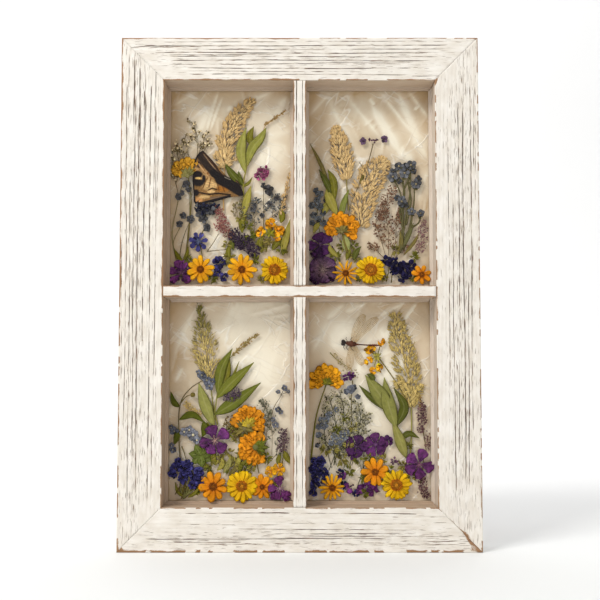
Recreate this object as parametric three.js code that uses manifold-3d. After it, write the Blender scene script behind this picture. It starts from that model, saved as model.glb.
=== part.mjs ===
// A small window-shaped wooden frame with four panes of pressed flowers.
// Millimetres, +Z up, the front faces -Y, the origin is the middle of the foot.
import * as THREE from "three";
import { mergeVertices } from "three/addons/utils/BufferGeometryUtils.js";
import Module from "manifold-3d";

const wasm = await Module();
wasm.setup();

// ---------------------------------------------------------------- driving dimensions
const FRAME_WIDTH = 280;
const FRAME_HEIGHT = 400;
const FRAME_DEPTH = 38;
const BOARD_WIDTH = 34; // width of each mitred board, seen from the front
const WALL_DEPTH = 23; // from the front face back to the lip
const LIP = 2.5; // how far the lip stands into the opening
const LIP_THICKNESS = 2;
const REBATE_WALL = 29.5; // board width left behind the lip
const UPRIGHT_WIDTH = 10;
const CROSSBAR_WIDTH = 9;
const WEB_WIDTH = 4; // rib behind the lips of the bars, between the sheets
const WEB_DEPTH = 28;
const GROOVE_OFFSET = 2.3; // the two lines worked along the upright bar
const GROOVE_WIDTH = 0.8;
const GROOVE_DEPTH = 0.7;
const SHEET_THICKNESS = 2;
const BACK_BOARD_THICKNESS = 3;
const GAP = 0.3; // clearance between pieces that touch
const PRESSED = 0.5; // thickness of a pressed petal, leaf or stem
const LAYER = PRESSED + GAP; // one pressed piece lies over the next
const HEAD = 1.3; // thickness of a daisy's centre
const POINT = { length: 14, width: 8, thickness: 0.8, inWall: 4 };

const FRONT = -FRAME_DEPTH / 2;
const LIP_BACK = WALL_DEPTH + LIP_THICKNESS;
const SHEET_FRONT = FRONT + LIP_BACK + GAP;
const BACK_BOARD_FRONT = FRONT + WEB_DEPTH + GAP;
const OPENING_WIDTH = FRAME_WIDTH - 2 * BOARD_WIDTH;
const OPENING_HEIGHT = FRAME_HEIGHT - 2 * BOARD_WIDTH;
const PANE_WIDTH = (OPENING_WIDTH - UPRIGHT_WIDTH) / 2;
const PANE_HEIGHT = (OPENING_HEIGHT - CROSSBAR_WIDTH) / 2;
const MIDDLE = FRAME_HEIGHT / 2;

// Lower left corner of each pane's opening, as [x, z].
const PANES = {
  upper_left: [-OPENING_WIDTH / 2, MIDDLE + CROSSBAR_WIDTH / 2],
  upper_right: [UPRIGHT_WIDTH / 2, MIDDLE + CROSSBAR_WIDTH / 2],
  lower_left: [-OPENING_WIDTH / 2, BOARD_WIDTH],
  lower_right: [UPRIGHT_WIDTH / 2, BOARD_WIDTH],
};

// ---------------------------------------------------------------- materials
function finish(color, roughness, metalness = 0) {
  return new THREE.MeshStandardMaterial({ color, roughness, metalness });
}

const PAINT = finish(0xf1ece2, 0.8);
const PEARL = finish(0xe0d6c2, 0.3);
const HARDBOARD = finish(0x7a5a3c, 0.85);
const STEEL = finish(0x9a9c9e, 0.4, 1);
const STRAW = finish(0xcdb47a, 0.85);
const LEAF = finish(0x6f7f3a, 0.75);
const GOLD = finish(0xe3a01f, 0.7);
const YELLOW = finish(0xecd21f, 0.7);
const ORANGE = finish(0xe8890f, 0.7);
const PURPLE = finish(0x55307a, 0.7);
const INDIGO = finish(0x2b2f86, 0.7);
const SKY = finish(0x6c7fa6, 0.75);
const DUSK = finish(0x3a2c42, 0.8);
const WING = finish(0x3a2c1c, 0.6);
const DRAGONFLY = finish(0x5a2f22, 0.5);

// ---------------------------------------------------------------- solids
function toSolid(geometry) {
  const bare = geometry.clone();
  bare.deleteAttribute("normal");
  bare.deleteAttribute("uv");
  const merged = mergeVertices(bare, 1e-5);
  return new wasm.Manifold(
    new wasm.Mesh({
      numProp: 3,
      vertProperties: new Float32Array(merged.attributes.position.array),
      triVerts: new Uint32Array(merged.index.array),
    }),
  );
}

function toGeometry(solid) {
  const mesh = solid.getMesh();
  const geometry = new THREE.BufferGeometry();
  geometry.setAttribute("position", new THREE.BufferAttribute(mesh.vertProperties, 3));
  geometry.setIndex(new THREE.BufferAttribute(mesh.triVerts, 1));
  geometry.computeVertexNormals();
  return geometry;
}

function join(geometries) {
  return toGeometry(geometries.map(toSolid).reduce((whole, solid) => whole.add(solid)));
}

function cut(geometry, tools) {
  return toGeometry(tools.map(toSolid).reduce((whole, tool) => whole.subtract(tool), toSolid(geometry)));
}

function box(width, depth, height, x, y, z) {
  return new THREE.BoxGeometry(width, depth, height).translate(x, y, z);
}

const group = new THREE.Group();

function add(name, geometry, material) {
  const mesh = new THREE.Mesh(geometry, material);
  mesh.name = name;
  group.add(mesh);
  return mesh;
}

// ---------------------------------------------------------------- mitred boards
// The section runs over (inward from the outer edge, back from the front face).
const BOARD_SECTION = [
  [0, 0],
  [BOARD_WIDTH, 0],
  [BOARD_WIDTH, WALL_DEPTH],
  [BOARD_WIDTH + LIP, WALL_DEPTH],
  [BOARD_WIDTH + LIP, LIP_BACK],
  [REBATE_WALL, LIP_BACK],
  [REBATE_WALL, FRAME_DEPTH],
  [0, FRAME_DEPTH],
];

// A board lies along X with its outer edge down; each end is cut back by 45 degrees,
// so that a point further in from the edge ends nearer the middle.
function board(length) {
  const shape = new THREE.Shape(BOARD_SECTION.map(([inward, back]) => new THREE.Vector2(inward, back)));
  const geometry = new THREE.ExtrudeGeometry(shape, { depth: 1, bevelEnabled: false });
  const position = geometry.attributes.position;
  for (let i = 0; i < position.count; i += 1) {
    const inward = position.getX(i);
    const side = 0.5 - position.getZ(i);
    const along = side * (length - 2 * inward - GAP);
    position.setXYZ(i, along, FRONT + position.getY(i), inward);
  }
  return geometry;
}

// A slot in the rebate wall for the steel tab at the middle of the board.
function slottedBoard(length) {
  const slot = box(
    POINT.width + 2 * GAP,
    POINT.thickness + 2 * GAP,
    POINT.inWall + GAP,
    0,
    pointMiddle(),
    REBATE_WALL - (POINT.inWall + GAP) / 2 + 0.01,
  );
  return cut(board(length), [slot]);
}

function pointMiddle() {
  return BACK_BOARD_FRONT + BACK_BOARD_THICKNESS + GAP + POINT.thickness / 2;
}

function steelPoint() {
  return box(POINT.width, POINT.thickness, POINT.length, 0, pointMiddle(),
    REBATE_WALL - POINT.inWall + POINT.length / 2);
}

// Each side of the frame is the bottom side turned about the middle of the frame.
const SIDES = [
  ["bottom_rail", "framers_point_bottom", FRAME_WIDTH, 0],
  ["right_stile", "framers_point_right", FRAME_HEIGHT, 1],
  ["top_rail", "framers_point_top", FRAME_WIDTH, 2],
  ["left_stile", "framers_point_left", FRAME_HEIGHT, 3],
];

for (const [boardName, pointName, length, turns] of SIDES) {
  const reach = turns % 2 === 0 ? FRAME_HEIGHT / 2 : FRAME_WIDTH / 2;
  for (const [name, geometry, material] of [
    [boardName, slottedBoard(length), PAINT],
    [pointName, steelPoint(), STEEL],
  ]) {
    geometry.translate(0, 0, -reach).rotateY((-turns * Math.PI) / 2).translate(0, 0, MIDDLE);
    add(name, geometry, material);
  }
}

// ---------------------------------------------------------------- glazing bars
// A bar's cross-section over (across, back): the bar, its two lips and the rib behind.
function barShape(width, grooves) {
  const half = width / 2;
  const lip = half + LIP;
  const rib = WEB_WIDTH / 2;
  const points = [];
  for (const centre of grooves) {
    points.push([centre - GROOVE_WIDTH / 2, 0], [centre, GROOVE_DEPTH], [centre + GROOVE_WIDTH / 2, 0]);
  }
  points.push([half, 0], [half, WALL_DEPTH], [lip, WALL_DEPTH], [lip, LIP_BACK], [rib, LIP_BACK]);
  points.push([rib, WEB_DEPTH], [-rib, WEB_DEPTH], [-rib, LIP_BACK], [-lip, LIP_BACK]);
  points.push([-lip, WALL_DEPTH], [-half, WALL_DEPTH], [-half, 0]);
  return new THREE.Shape(points.map(([across, back]) => new THREE.Vector2(across, back)));
}

// The bar lies along Z; its back is cut short at each end, clear of the boards' lips.
function bar(width, length, grooves) {
  const geometry = new THREE.ExtrudeGeometry(barShape(width, grooves), { depth: length, bevelEnabled: false });
  geometry.translate(0, FRONT, -length / 2);
  const notch = LIP + GAP;
  const backDepth = WEB_DEPTH - WALL_DEPTH + 2 * GAP;
  const ends = [-1, 1].map((end) =>
    box(4 * width, backDepth, 2 * notch, 0, FRONT + WALL_DEPTH - GAP + backDepth / 2, (end * length) / 2),
  );
  return cut(geometry, ends);
}

// The halving joint: the upright bar gives up its front half, the crossbar its back half.
const halving = WALL_DEPTH / 2;
const uprightLength = OPENING_HEIGHT - 2 * GAP;
const crossbarLength = OPENING_WIDTH - 2 * GAP;
const uprightNotch = box(
  2 * UPRIGHT_WIDTH, halving + 1, CROSSBAR_WIDTH + 2 * GAP, 0, FRONT + (halving - 1) / 2, 0,
);
const upright = cut(bar(UPRIGHT_WIDTH, uprightLength, [-GROOVE_OFFSET, GROOVE_OFFSET]), [uprightNotch]);
add("upright_bar", upright.translate(0, 0, MIDDLE), PAINT);

const crossbarBack = FRAME_DEPTH - halving;
const crossbarNotches = [
  box(UPRIGHT_WIDTH + 2 * GAP, crossbarBack, 3 * CROSSBAR_WIDTH, 0, FRONT + halving - GAP + crossbarBack / 2, 0),
  box(UPRIGHT_WIDTH + 2 * (LIP + GAP), crossbarBack, 3 * CROSSBAR_WIDTH, 0,
    FRONT + WALL_DEPTH - GAP + crossbarBack / 2, 0),
];
const crossbarAlongZ = bar(CROSSBAR_WIDTH, crossbarLength, []).rotateY(Math.PI / 2);
add("crossbar", cut(crossbarAlongZ, crossbarNotches).translate(0, 0, MIDDLE), PAINT);

// ---------------------------------------------------------------- sheets and back board
const sheetWidth = PANE_WIDTH + (BOARD_WIDTH - REBATE_WALL) + (UPRIGHT_WIDTH - WEB_WIDTH) / 2 - 2 * GAP;
const sheetHeight = PANE_HEIGHT + (BOARD_WIDTH - REBATE_WALL) + (CROSSBAR_WIDTH - WEB_WIDTH) / 2 - 2 * GAP;
for (const side of [-1, 1]) {
  for (const [level, up] of [["lower", -1], ["upper", 1]]) {
    const x = side * (WEB_WIDTH / 2 + GAP + sheetWidth / 2);
    const z = MIDDLE + up * (WEB_WIDTH / 2 + GAP + sheetHeight / 2);
    const name = `sheet_${level}_${side < 0 ? "left" : "right"}`;
    const y = SHEET_FRONT + SHEET_THICKNESS / 2;
    add(name, box(sheetWidth, SHEET_THICKNESS, sheetHeight, x, y, z), PEARL);
  }
}
const rebate = 2 * (REBATE_WALL + GAP);
add(
  "back_board",
  box(FRAME_WIDTH - rebate, BACK_BOARD_THICKNESS, FRAME_HEIGHT - rebate,
    0, BACK_BOARD_FRONT + BACK_BOARD_THICKNESS / 2, MIDDLE),
  HARDBOARD,
);

// ---------------------------------------------------------------- outlines of pressed pieces
// Every outline runs over (right, up) in its pane, measured from the opening's corner.
function outline(points) {
  return new THREE.Shape(points.map(([right, up]) => new THREE.Vector2(right, up)));
}

// A strip along a smooth route, with the half width that the profile gives at each step.
function strip(route, halfWidth, steps) {
  const curve = new THREE.SplineCurve(route.map(([right, up]) => new THREE.Vector2(right, up)));
  const left = [];
  const right = [];
  for (let i = 0; i <= steps; i += 1) {
    const t = i / steps;
    const point = curve.getPoint(t);
    const along = curve.getTangent(t);
    const half = halfWidth(t);
    left.push([point.x - along.y * half, point.y + along.x * half]);
    right.push([point.x + along.y * half, point.y - along.x * half]);
  }
  return outline([...right, ...left.reverse()]);
}

function stem(route, width = 1, steps = 3) {
  return strip(route, (t) => (width / 2) * (1 - 0.35 * t), steps);
}

// A leaf is widest a little before its middle and comes to a point.
function leaf(route, width, steps = 4) {
  const base = Math.min(0.9, width / 4);
  const blade = (t) => (width / 2) * Math.sin(Math.PI * Math.pow(t, 0.85));
  return strip(route, (t) => Math.max(base * (1 - t), 0.15, blade(t)), steps);
}

// A grass plume: teeth along both edges of a leaf-shaped strip, one for each spikelet.
function plume(route, width, spikelets) {
  const tooth = 0.24;
  const steps = 2 * spikelets;
  const body = (t) => (width / 2) * Math.min(1, 0.45 + 2.4 * t) * Math.sqrt(1.02 - t);
  const edge = (t) => body(t) * (Math.round(t * steps) % 2 === 1 ? 1 + tooth : 1 - tooth);
  return strip(route, (t) => Math.max(0.3, edge(t)), steps);
}

// An insect's clear wing, widest near its end.
function clearWing(route, width) {
  return strip(route, (t) => 0.7 + width * t * Math.sqrt(1.04 - t), 4);
}

// Points at the given reaches round a centre, for angles in parts of a petal's pitch.
function round(centre, radius, count, turn, profile) {
  const points = [];
  const pitch = (2 * Math.PI) / count;
  for (let i = 0; i < count; i += 1) {
    for (const [offset, reach] of profile) {
      const angle = turn + (i + offset) * pitch;
      points.push([
        centre[0] + radius * reach * Math.cos(angle),
        centre[1] + radius * reach * Math.sin(angle),
      ]);
    }
  }
  return outline(points);
}

// Narrow petals: a notch, then a tip of two corners.
function rays(centre, radius, count, turn = 0) {
  return round(centre, radius, count, turn, [[-0.5, 0.45], [-0.25, 0.97], [0.25, 0.97]]);
}

// Broad petals with round ends.
function petals(centre, radius, count, turn = 0, notch = 0.35) {
  return round(centre, radius, count, turn, [[-0.5, notch], [-0.3, 0.92], [0, 1], [0.3, 0.92]]);
}

// A small flower of five petals, each a notch and a tip.
function floret(centre, radius, turn = 0.3) {
  return round(centre, radius, 5, turn, [[-0.5, 0.65], [0, 1]]);
}

// A small head of many florets, as one ragged round.
function tuft(centre, radius, lobes = 5) {
  return round(centre, radius, lobes, 0.2, [[0, 1], [0.5, 0.78]]);
}

// Petals spread to one side only, as a flower head pressed from the side.
function fan([right, up], radius, count, from, to) {
  const points = [];
  const pitch = (to - from) / count;
  const put = (angle, reach) =>
    points.push([right + radius * reach * Math.cos(angle), up + radius * reach * Math.sin(angle)]);
  for (let i = 0; i < count; i += 1) {
    const start = from + i * pitch;
    put(start, 0.68);
    put(start + 0.5 * pitch, 1);
  }
  put(to, 0.68);
  put(to, 0.25);
  put((from + to) / 2, 0.12);
  put(from, 0.25);
  return outline(points);
}

// ---------------------------------------------------------------- pressed pieces
// An outline gets its thickness toward the front; its back face lies at y = 0.
function pressed(shape) {
  const geometry = new THREE.ExtrudeGeometry(shape, { depth: PRESSED, bevelEnabled: false });
  return geometry.rotateX(Math.PI / 2);
}

function head([right, up], radius) {
  return new THREE.CylinderGeometry(radius * 0.8, radius, HEAD, 8).translate(right, -HEAD / 2, up);
}

// Fuses one plant's shapes and lays it in its pane, as many layers out as given.
function lay(name, pane, layer, material, shapes, solids = []) {
  const geometry = join([...shapes.map(pressed), ...solids]);
  const [x, z] = PANES[pane];
  geometry.translate(x, SHEET_FRONT - GAP - layer * LAYER, z);
  add(`${pane}_${name}`, geometry, material);
}

function daisy(name, pane, layer, material, centre, radius, count, discRadius, turn = 0) {
  lay(name, pane, layer, material, [rays(centre, radius, count, turn)], [head(centre, discRadius)]);
}

// ---------------------------------------------------------------- upper left pane
lay("grain_plume", "upper_left", 0, STRAW, [
  plume([[46, 98], [46, 112], [51, 127], [59, 141], [69, 152]], 17, 9),
  stem([[45, 62], [45, 80], [46, 104]], 1.4),
]);
lay("willow_sprig", "upper_left", 1, LEAF, [
  stem([[60, 52], [61, 72], [61, 85], [64, 99], [67.5, 116]], 1.8),
  leaf([[62.6, 92], [59, 108], [60, 118], [63, 129]], 8),
  leaf([[63, 97], [68, 112], [75, 121], [79, 129]], 8),
  leaf([[67, 114], [66, 122], [69, 130]], 5.5),
  leaf([[61, 58], [64, 71], [67, 82]], 6),
  leaf([[61, 82], [52, 91], [46, 100]], 6),
  leaf([[61, 82], [64, 86], [67, 89]], 2.4, 3),
]);
lay("swallowtail_wing", "upper_left", 2, WING, [
  outline([
    [61, 73], [62, 77], [60, 81], [51, 86], [43, 92], [35, 102], [30, 108], [27, 110], [24, 107],
    [21, 100], [19.5, 93], [20.5, 88], [19, 84], [20.5, 79], [19.5, 74], [21, 70], [23, 66.5],
    [31, 68], [37, 69], [44, 72], [53, 74],
  ]),
]);
lay("marigold", "upper_left", 1, GOLD, [
  fan([16, 92], 12.8, 7, 0.25 * Math.PI, 0.98 * Math.PI),
  tuft([16.5, 91], 4.5),
  stem([[15, 24], [16.5, 63], [16.5, 92]], 1.2),
]);
lay("delphinium", "upper_left", 1, INDIGO, [
  petals([25, 37], 8, 5, 0.6),
  stem([[27, 26], [26, 37], [28, 56], [30, 66]], 1),
  stem([[27, 52], [32, 48]], 1, 1),
  stem([[28, 58], [35, 62]], 1, 1),
  floret([32, 48], 3.6),
  floret([27, 60], 5.2, 0.9),
  floret([35, 62], 4.8, 0.2),
]);
lay("purple_geranium", "upper_left", 1, PURPLE, [
  fan([8, 6.5], 17, 4, 0.1 * Math.PI, 0.55 * Math.PI),
]);
daisy("gold_daisy_left", "upper_left", 3, GOLD, [27, 14.6], 11.6, 10, 3, 0.2);
lay("larkspur", "upper_left", 1, INDIGO, [
  tuft([42, 20], 7, 6),
  tuft([46, 9], 4.6),
  stem([[42, 20], [46, 4]], 2, 1),
]);
daisy("gold_daisy_right", "upper_left", 3, GOLD, [60, 14.4], 12.6, 11, 3, 0.1);
daisy("yellow_daisy", "upper_left", 3, YELLOW, [86, 14.2], 12, 14, 4.8);
lay("purple_statice", "upper_left", 1, DUSK, [
  tuft([54, 42], 6, 6),
  tuft([62, 36], 6.8, 6),
  tuft([69, 30], 6, 6),
]);
lay("orange_vetch", "upper_left", 2, ORANGE, [
  rays([75, 44.5], 4.9, 5),
  rays([83, 51], 5.2, 5, 0.8),
  rays([89.5, 45], 5.4, 5),
  tuft([82.5, 42.5], 4.6),
  stem([[83, 44], [79, 29]], 1.2, 1),
]);

// ---------------------------------------------------------------- upper right pane
lay("grain_plume_left", "upper_right", 1, STRAW, [
  plume([[32, 88], [30, 102], [27, 115], [24, 130]], 17, 8),
  stem([[34, 62], [33, 78], [32, 94]], 1.2),
]);
lay("grain_plume_right", "upper_right", 0, STRAW, [
  plume([[44, 50], [46, 69], [50, 83], [57, 95], [66, 103]], 22, 9),
]);
lay("leaf_sprig", "upper_right", 2, LEAF, [
  leaf([[18, 84], [14, 94], [9, 105], [3.2, 116]], 2.4),
  leaf([[22, 72], [16, 85], [10.5, 95]], 5),
  leaf([[23, 70], [22, 85], [17.5, 95]], 6),
  leaf([[25, 58], [19, 71], [16, 79]], 8),
  leaf([[27, 52], [30, 67], [34.5, 79]], 5),
  stem([[33, 30], [28, 48], [24, 64], [20, 82]], 1.6),
]);
lay("forget_me_not", "upper_right", 2, SKY, [
  floret([74.5, 97.5], 4.6),
  floret([84, 98.5], 5),
  floret([69.5, 89], 5, 0.8),
  floret([79, 92], 5),
  floret([88, 83], 5, 0.5),
  floret([76.5, 69], 5),
  floret([84.5, 61], 3.8),
  floret([91.5, 59.5], 3.8),
  stem([[75, 28], [78, 48], [80, 68], [78, 92]], 1.6),
  stem([[75, 28], [84, 46], [86, 64], [87, 82]], 1.4),
  stem([[70, 88], [76, 86], [80, 74]], 1, 3),
  stem([[84, 48], [91, 59]], 1, 1),
]);
lay("marigold", "upper_right", 3, ORANGE, [
  fan([28, 45.5], 14, 8, -0.12 * Math.PI, 1.1 * Math.PI),
  tuft([28.5, 44], 5, 6),
  stem([[33, 28], [28.5, 46]], 3, 1),
]);
lay("purple_geranium", "upper_right", 1, PURPLE, [
  petals([12.6, 34.5], 9.6, 5, 0.4),
  petals([14.6, 14.6], 11.4, 5, 0.1),
  stem([[14, 14], [12, 34]], 1.6, 1),
]);
daisy("gold_daisy", "upper_right", 3, GOLD, [31.5, 11.5], 10.5, 11, 2.6, 0.15);
daisy("yellow_daisy", "upper_right", 4, YELLOW, [51.5, 14.2], 12.6, 16, 5.2);
lay("larkspur", "upper_right", 1, INDIGO, [
  tuft([64.5, 22], 4.6),
  tuft([71, 19.5], 6, 6),
  tuft([76, 15.5], 7.4, 6),
  tuft([83, 18.5], 4.4),
  tuft([76, 8], 4.6),
]);
daisy("orange_daisy", "upper_right", 3, ORANGE, [92, 10.5], 8.4, 7, 2.4, 0.3);

// ---------------------------------------------------------------- lower left pane
lay("grain_plume", "lower_left", 0, STRAW, [
  plume([[35, 96], [33, 109], [31.5, 121], [29, 136], [26, 157]], 21, 10),
  stem([[41, 62], [37, 80], [35, 102]], 1.4),
]);
lay("willow_sprig", "lower_left", 1, LEAF, [
  leaf([[41, 86], [44, 106], [52.5, 122]], 8),
  leaf([[42, 86], [48, 102], [50.5, 114]], 6.5),
  leaf([[40.5, 83], [53, 96], [69.5, 111]], 9),
  leaf([[39, 70], [55, 80], [75, 95]], 10),
  leaf([[38, 61], [31, 79], [26, 95]], 9.5),
  leaf([[49, 92], [58, 112]], 1.8, 2),
  stem([[38, 56], [39, 72], [41.5, 92]], 1.8),
]);
lay("leafy_forget_me_not", "lower_left", 2, LEAF, [
  stem([[12, 34], [10.5, 56], [11.5, 78], [19, 90], [31, 98]], 1.1, 6),
  stem([[12, 78], [21, 85]], 0.9, 1),
  tuft([21.5, 85.5], 2.6, 4),
  leaf([[11, 76], [7.5, 79], [4.5, 86]], 5),
  leaf([[11, 66], [21, 69], [31, 63.5]], 4.5),
  leaf([[30, 65], [31, 60], [29, 54]], 5),
  leaf([[10.5, 58], [8, 53], [7, 48]], 5),
  floret([28.5, 101], 4.6),
  floret([32.5, 97], 4.8),
  floret([34.5, 92.5], 4.2),
  floret([15, 56.5], 4),
  floret([22, 54], 6, 0.7),
  floret([7, 57], 4),
  floret([6.8, 42.5], 3.6),
  stem([[12, 36], [22, 52]], 0.8, 1),
  stem([[12, 35], [7, 42]], 0.8, 1),
]);
lay("purple_geranium", "lower_left", 3, PURPLE, [petals([39.5, 50], 13, 5, 0.2)]);
lay("marigold_upper", "lower_left", 1, ORANGE, [
  fan([65.5, 63.5], 13, 8, -0.1 * Math.PI, 0.98 * Math.PI),
  tuft([63, 61.5], 5.5, 6),
]);
lay("marigold_lower", "lower_left", 2, ORANGE, [
  fan([70, 43.5], 14.5, 9, 0.25 * Math.PI, 1.62 * Math.PI),
  tuft([73, 45], 5.5, 6),
]);
lay("lobed_leaf", "lower_left", 1, LEAF, [
  petals([28, 38], 9.5, 6, 0.3, 0.6),
  stem([[30, 34], [37, 22]], 2.4, 1),
]);
lay("larkspur", "lower_left", 3, INDIGO, [
  tuft([9, 28], 5.4),
  tuft([16, 27], 7, 6),
  tuft([23, 22], 6.4, 6),
  stem([[16, 24], [8, 7.5]], 2, 1),
  stem([[18, 22], [13, 4]], 2, 1),
]);
daisy("gold_daisy", "lower_left", 4, GOLD, [38, 13.8], 11.4, 8, 3.4, 0.35);
daisy("yellow_daisy", "lower_left", 3, YELLOW, [60.4, 13.8], 12.2, 12, 5.2, 0.1);
daisy("orange_daisy", "lower_left", 2, ORANGE, [76.5, 13.4], 10, 8, 2.2, 0.2);
lay("violet", "lower_left", 3, PURPLE, [
  rays([90, 14.5], 6, 5, 0.5),
  rays([90, 8], 5.4, 5),
  rays([95, 5.8], 5, 5),
]);

// ---------------------------------------------------------------- lower right pane
lay("dragonfly", "lower_right", 2, DRAGONFLY, [
  clearWing([[36, 127], [40, 138], [46, 147.5]], 2.6),
  clearWing([[38, 126], [46, 137], [56, 145]], 3.4),
  clearWing([[36, 126], [35, 116], [34.5, 107]], 2.6),
  clearWing([[38, 126], [41, 117], [44.5, 110]], 3),
  strip([[40, 125], [57.5, 124.6]], () => 0.8, 1),
], [
  new THREE.SphereGeometry(2, 7, 4).scale(1, 0.4, 1.1).translate(29.5, -0.8, 126.8),
  new THREE.SphereGeometry(4.6, 7, 4).scale(1.3, 0.17, 0.55).translate(35.5, -0.8, 125.8),
]);
lay("grain_plume", "lower_right", 0, STRAW, [
  plume([[83, 79], [82, 97], [78, 114], [74, 131], [71, 151]], 17, 11),
  stem([[82, 34], [83, 60], [83, 84]], 1.8),
]);
lay("willow_sprig", "lower_right", 1, LEAF, [
  leaf([[68, 71], [52, 83], [42, 93]], 4),
  leaf([[68, 71], [58, 85], [47, 99]], 10),
  leaf([[71, 62], [66, 79], [62, 98]], 8),
  leaf([[71.5, 61], [76, 75], [70, 90]], 6),
  leaf([[79, 37], [74, 50], [69, 66]], 6.5),
  leaf([[74, 50], [81, 54], [89.5, 51.5]], 4.4),
  stem([[79, 38], [75, 52], [68, 73]], 1.6),
]);
lay("marigold", "lower_right", 1, ORANGE, [
  fan([16.8, 95.5], 13.4, 8, -0.05 * Math.PI, 1.2 * Math.PI),
  tuft([16.8, 94.5], 4.5),
  stem([[3.8, 40], [8, 72], [16, 94]], 1.4),
]);
lay("orange_trefoil", "lower_right", 1, ORANGE, [
  floret([50, 120.5], 4.2),
  floret([59.5, 126.5], 4),
  floret([49.5, 112.5], 4),
  floret([53, 104.5], 3.6),
  floret([58.5, 106.5], 4),
  tuft([56, 116], 5.4, 6),
  stem([[58, 118], [60, 126]], 1.2, 1),
  stem([[54, 112], [53, 105]], 1.2, 1),
  stem([[57, 112], [58, 107]], 1.2, 1),
  stem([[57, 116], [71, 96], [81, 79]], 1.1),
]);
lay("violets", "lower_right", 1, PURPLE, [
  petals([39.5, 46], 8, 5, 0.5, 0.45),
  petals([55, 46.5], 8.4, 5, 0.2, 0.45),
  rays([64.5, 49], 5.6, 5),
  stem([[39, 45], [56, 46]], 2, 1),
  stem([[44, 14], [43, 30], [46, 45]], 1, 3),
]);
lay("purple_geranium", "lower_right", 3, PURPLE, [petals([89, 31.2], 11.6, 5, 0.1)]);
daisy("orange_daisy", "lower_right", 2, ORANGE, [54.6, 24], 10, 8, 2.6, 0.25);
daisy("yellow_daisy", "lower_right", 3, YELLOW, [71, 15], 12.9, 13, 5, 0.1);
daisy("gold_daisy", "lower_right", 3, GOLD, [20.6, 12.8], 10.9, 13, 3, 0.1);
lay("larkspur", "lower_right", 2, INDIGO, [
  tuft([9, 30], 5.8, 6),
  tuft([7.6, 22], 4.6),
  tuft([14.5, 25], 4.8),
  tuft([7.2, 15], 4.2),
]);

export default group;
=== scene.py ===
# %% [markdown]
# # A window-shaped frame of pressed flowers
# The real object is a small softwood frame with mitred corners and two glazing bars. It is
# painted white and rubbed back. Each of its four panes holds a crinkled, pearly sheet with
# dried flowers, grasses and insects glued on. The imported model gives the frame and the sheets.
# This script gives the surfaces: worn paint, crumpled film, and petals that curl.

import bpy
import numpy as np
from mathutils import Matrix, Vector


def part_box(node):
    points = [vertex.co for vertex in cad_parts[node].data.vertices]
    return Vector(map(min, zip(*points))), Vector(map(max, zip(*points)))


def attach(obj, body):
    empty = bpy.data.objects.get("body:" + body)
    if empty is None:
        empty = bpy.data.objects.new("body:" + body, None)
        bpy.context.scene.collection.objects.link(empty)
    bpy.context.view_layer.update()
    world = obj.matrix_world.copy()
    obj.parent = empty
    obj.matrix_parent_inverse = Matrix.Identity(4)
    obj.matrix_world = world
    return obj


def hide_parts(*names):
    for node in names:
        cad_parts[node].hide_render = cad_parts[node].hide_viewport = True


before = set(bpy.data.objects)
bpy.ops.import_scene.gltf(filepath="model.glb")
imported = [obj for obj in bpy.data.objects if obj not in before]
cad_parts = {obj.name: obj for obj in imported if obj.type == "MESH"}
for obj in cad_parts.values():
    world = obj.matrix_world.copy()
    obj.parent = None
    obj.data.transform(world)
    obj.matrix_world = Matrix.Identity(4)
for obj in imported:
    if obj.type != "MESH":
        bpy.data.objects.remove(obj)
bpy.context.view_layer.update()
scene = bpy.context.scene
MM = 0.001
# The range of a seeded direction, in radians.
TURN = 6.28

# %% [markdown]
# ## Small tools
# Every new piece is a set of points worked out with numpy as whole arrays. A surface is a
# dictionary: its points in millimetres, its four-sided and three-sided faces, a colour for
# each point, and two numbers for each point that say where it lies across and along.
# Keeping the pieces as plain arrays lets many petals be joined before Blender sees them.

# %% Colours, joining and meshes
def paint(red, green, blue):
    """A colour given as the eye reads it, 0 to 255, turned into the light that Blender adds up."""
    share = np.array([red, green, blue], float) / 255.0
    return np.where(share <= 0.04045, share / 12.92, ((share + 0.055) / 1.055) ** 2.4)


def surface(points, quads, tris, tint, place=None):
    """One surface's arrays; a ball has no use for the two place numbers and leaves them out."""
    place = np.zeros((len(points), 2)) if place is None else place
    return {"points": points, "quads": quads, "tris": tris, "tint": tint, "place": place}


def joined(parts):
    """Several surfaces as one: each one's face numbers move up by the points before it."""
    starts = np.cumsum([0] + [len(part["points"]) for part in parts[:-1]])
    whole = {key: np.concatenate([part[key] for part in parts]) for key in ("points", "tint", "place")}
    for key in ("quads", "tris"):
        whole[key] = np.concatenate([part[key] + start for part, start in zip(parts, starts)])
    return whole


def piece(name, part, material, stands_for):
    """Puts one surface into Blender in metres, with its colours and its two place numbers."""
    mesh = bpy.data.meshes.new(name)
    corners = np.concatenate([part["quads"].ravel(), part["tris"].ravel()])
    sizes = np.repeat([4, 3], [len(part["quads"]), len(part["tris"])])
    mesh.vertices.add(len(part["points"]))
    mesh.vertices.foreach_set("co", (part["points"] * MM).ravel())
    mesh.loops.add(len(corners))
    mesh.loops.foreach_set("vertex_index", corners.astype(np.int32))
    mesh.polygons.add(len(sizes))
    mesh.polygons.foreach_set("loop_start", (np.cumsum(sizes) - sizes).astype(np.int32))
    mesh.polygons.foreach_set("use_smooth", np.ones(len(sizes), bool))
    mesh.update(calc_edges=True)
    tint = mesh.attributes.new("tint", "FLOAT_COLOR", "POINT")
    tint.data.foreach_set("color", np.hstack([part["tint"], np.ones((len(part["tint"]), 1))]).ravel())
    layer = mesh.uv_layers.new(name="place")
    layer.data.foreach_set("uv", part["place"][corners].ravel())
    mesh.materials.append(material)
    body = bpy.data.objects.new(name, mesh)
    scene.collection.objects.link(body)
    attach(body, "root")
    if stands_for:
        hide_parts(*stands_for)
    triangles = 2 * len(part["quads"]) + len(part["tris"])
    print(f"{name}: {triangles} triangles")


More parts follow.
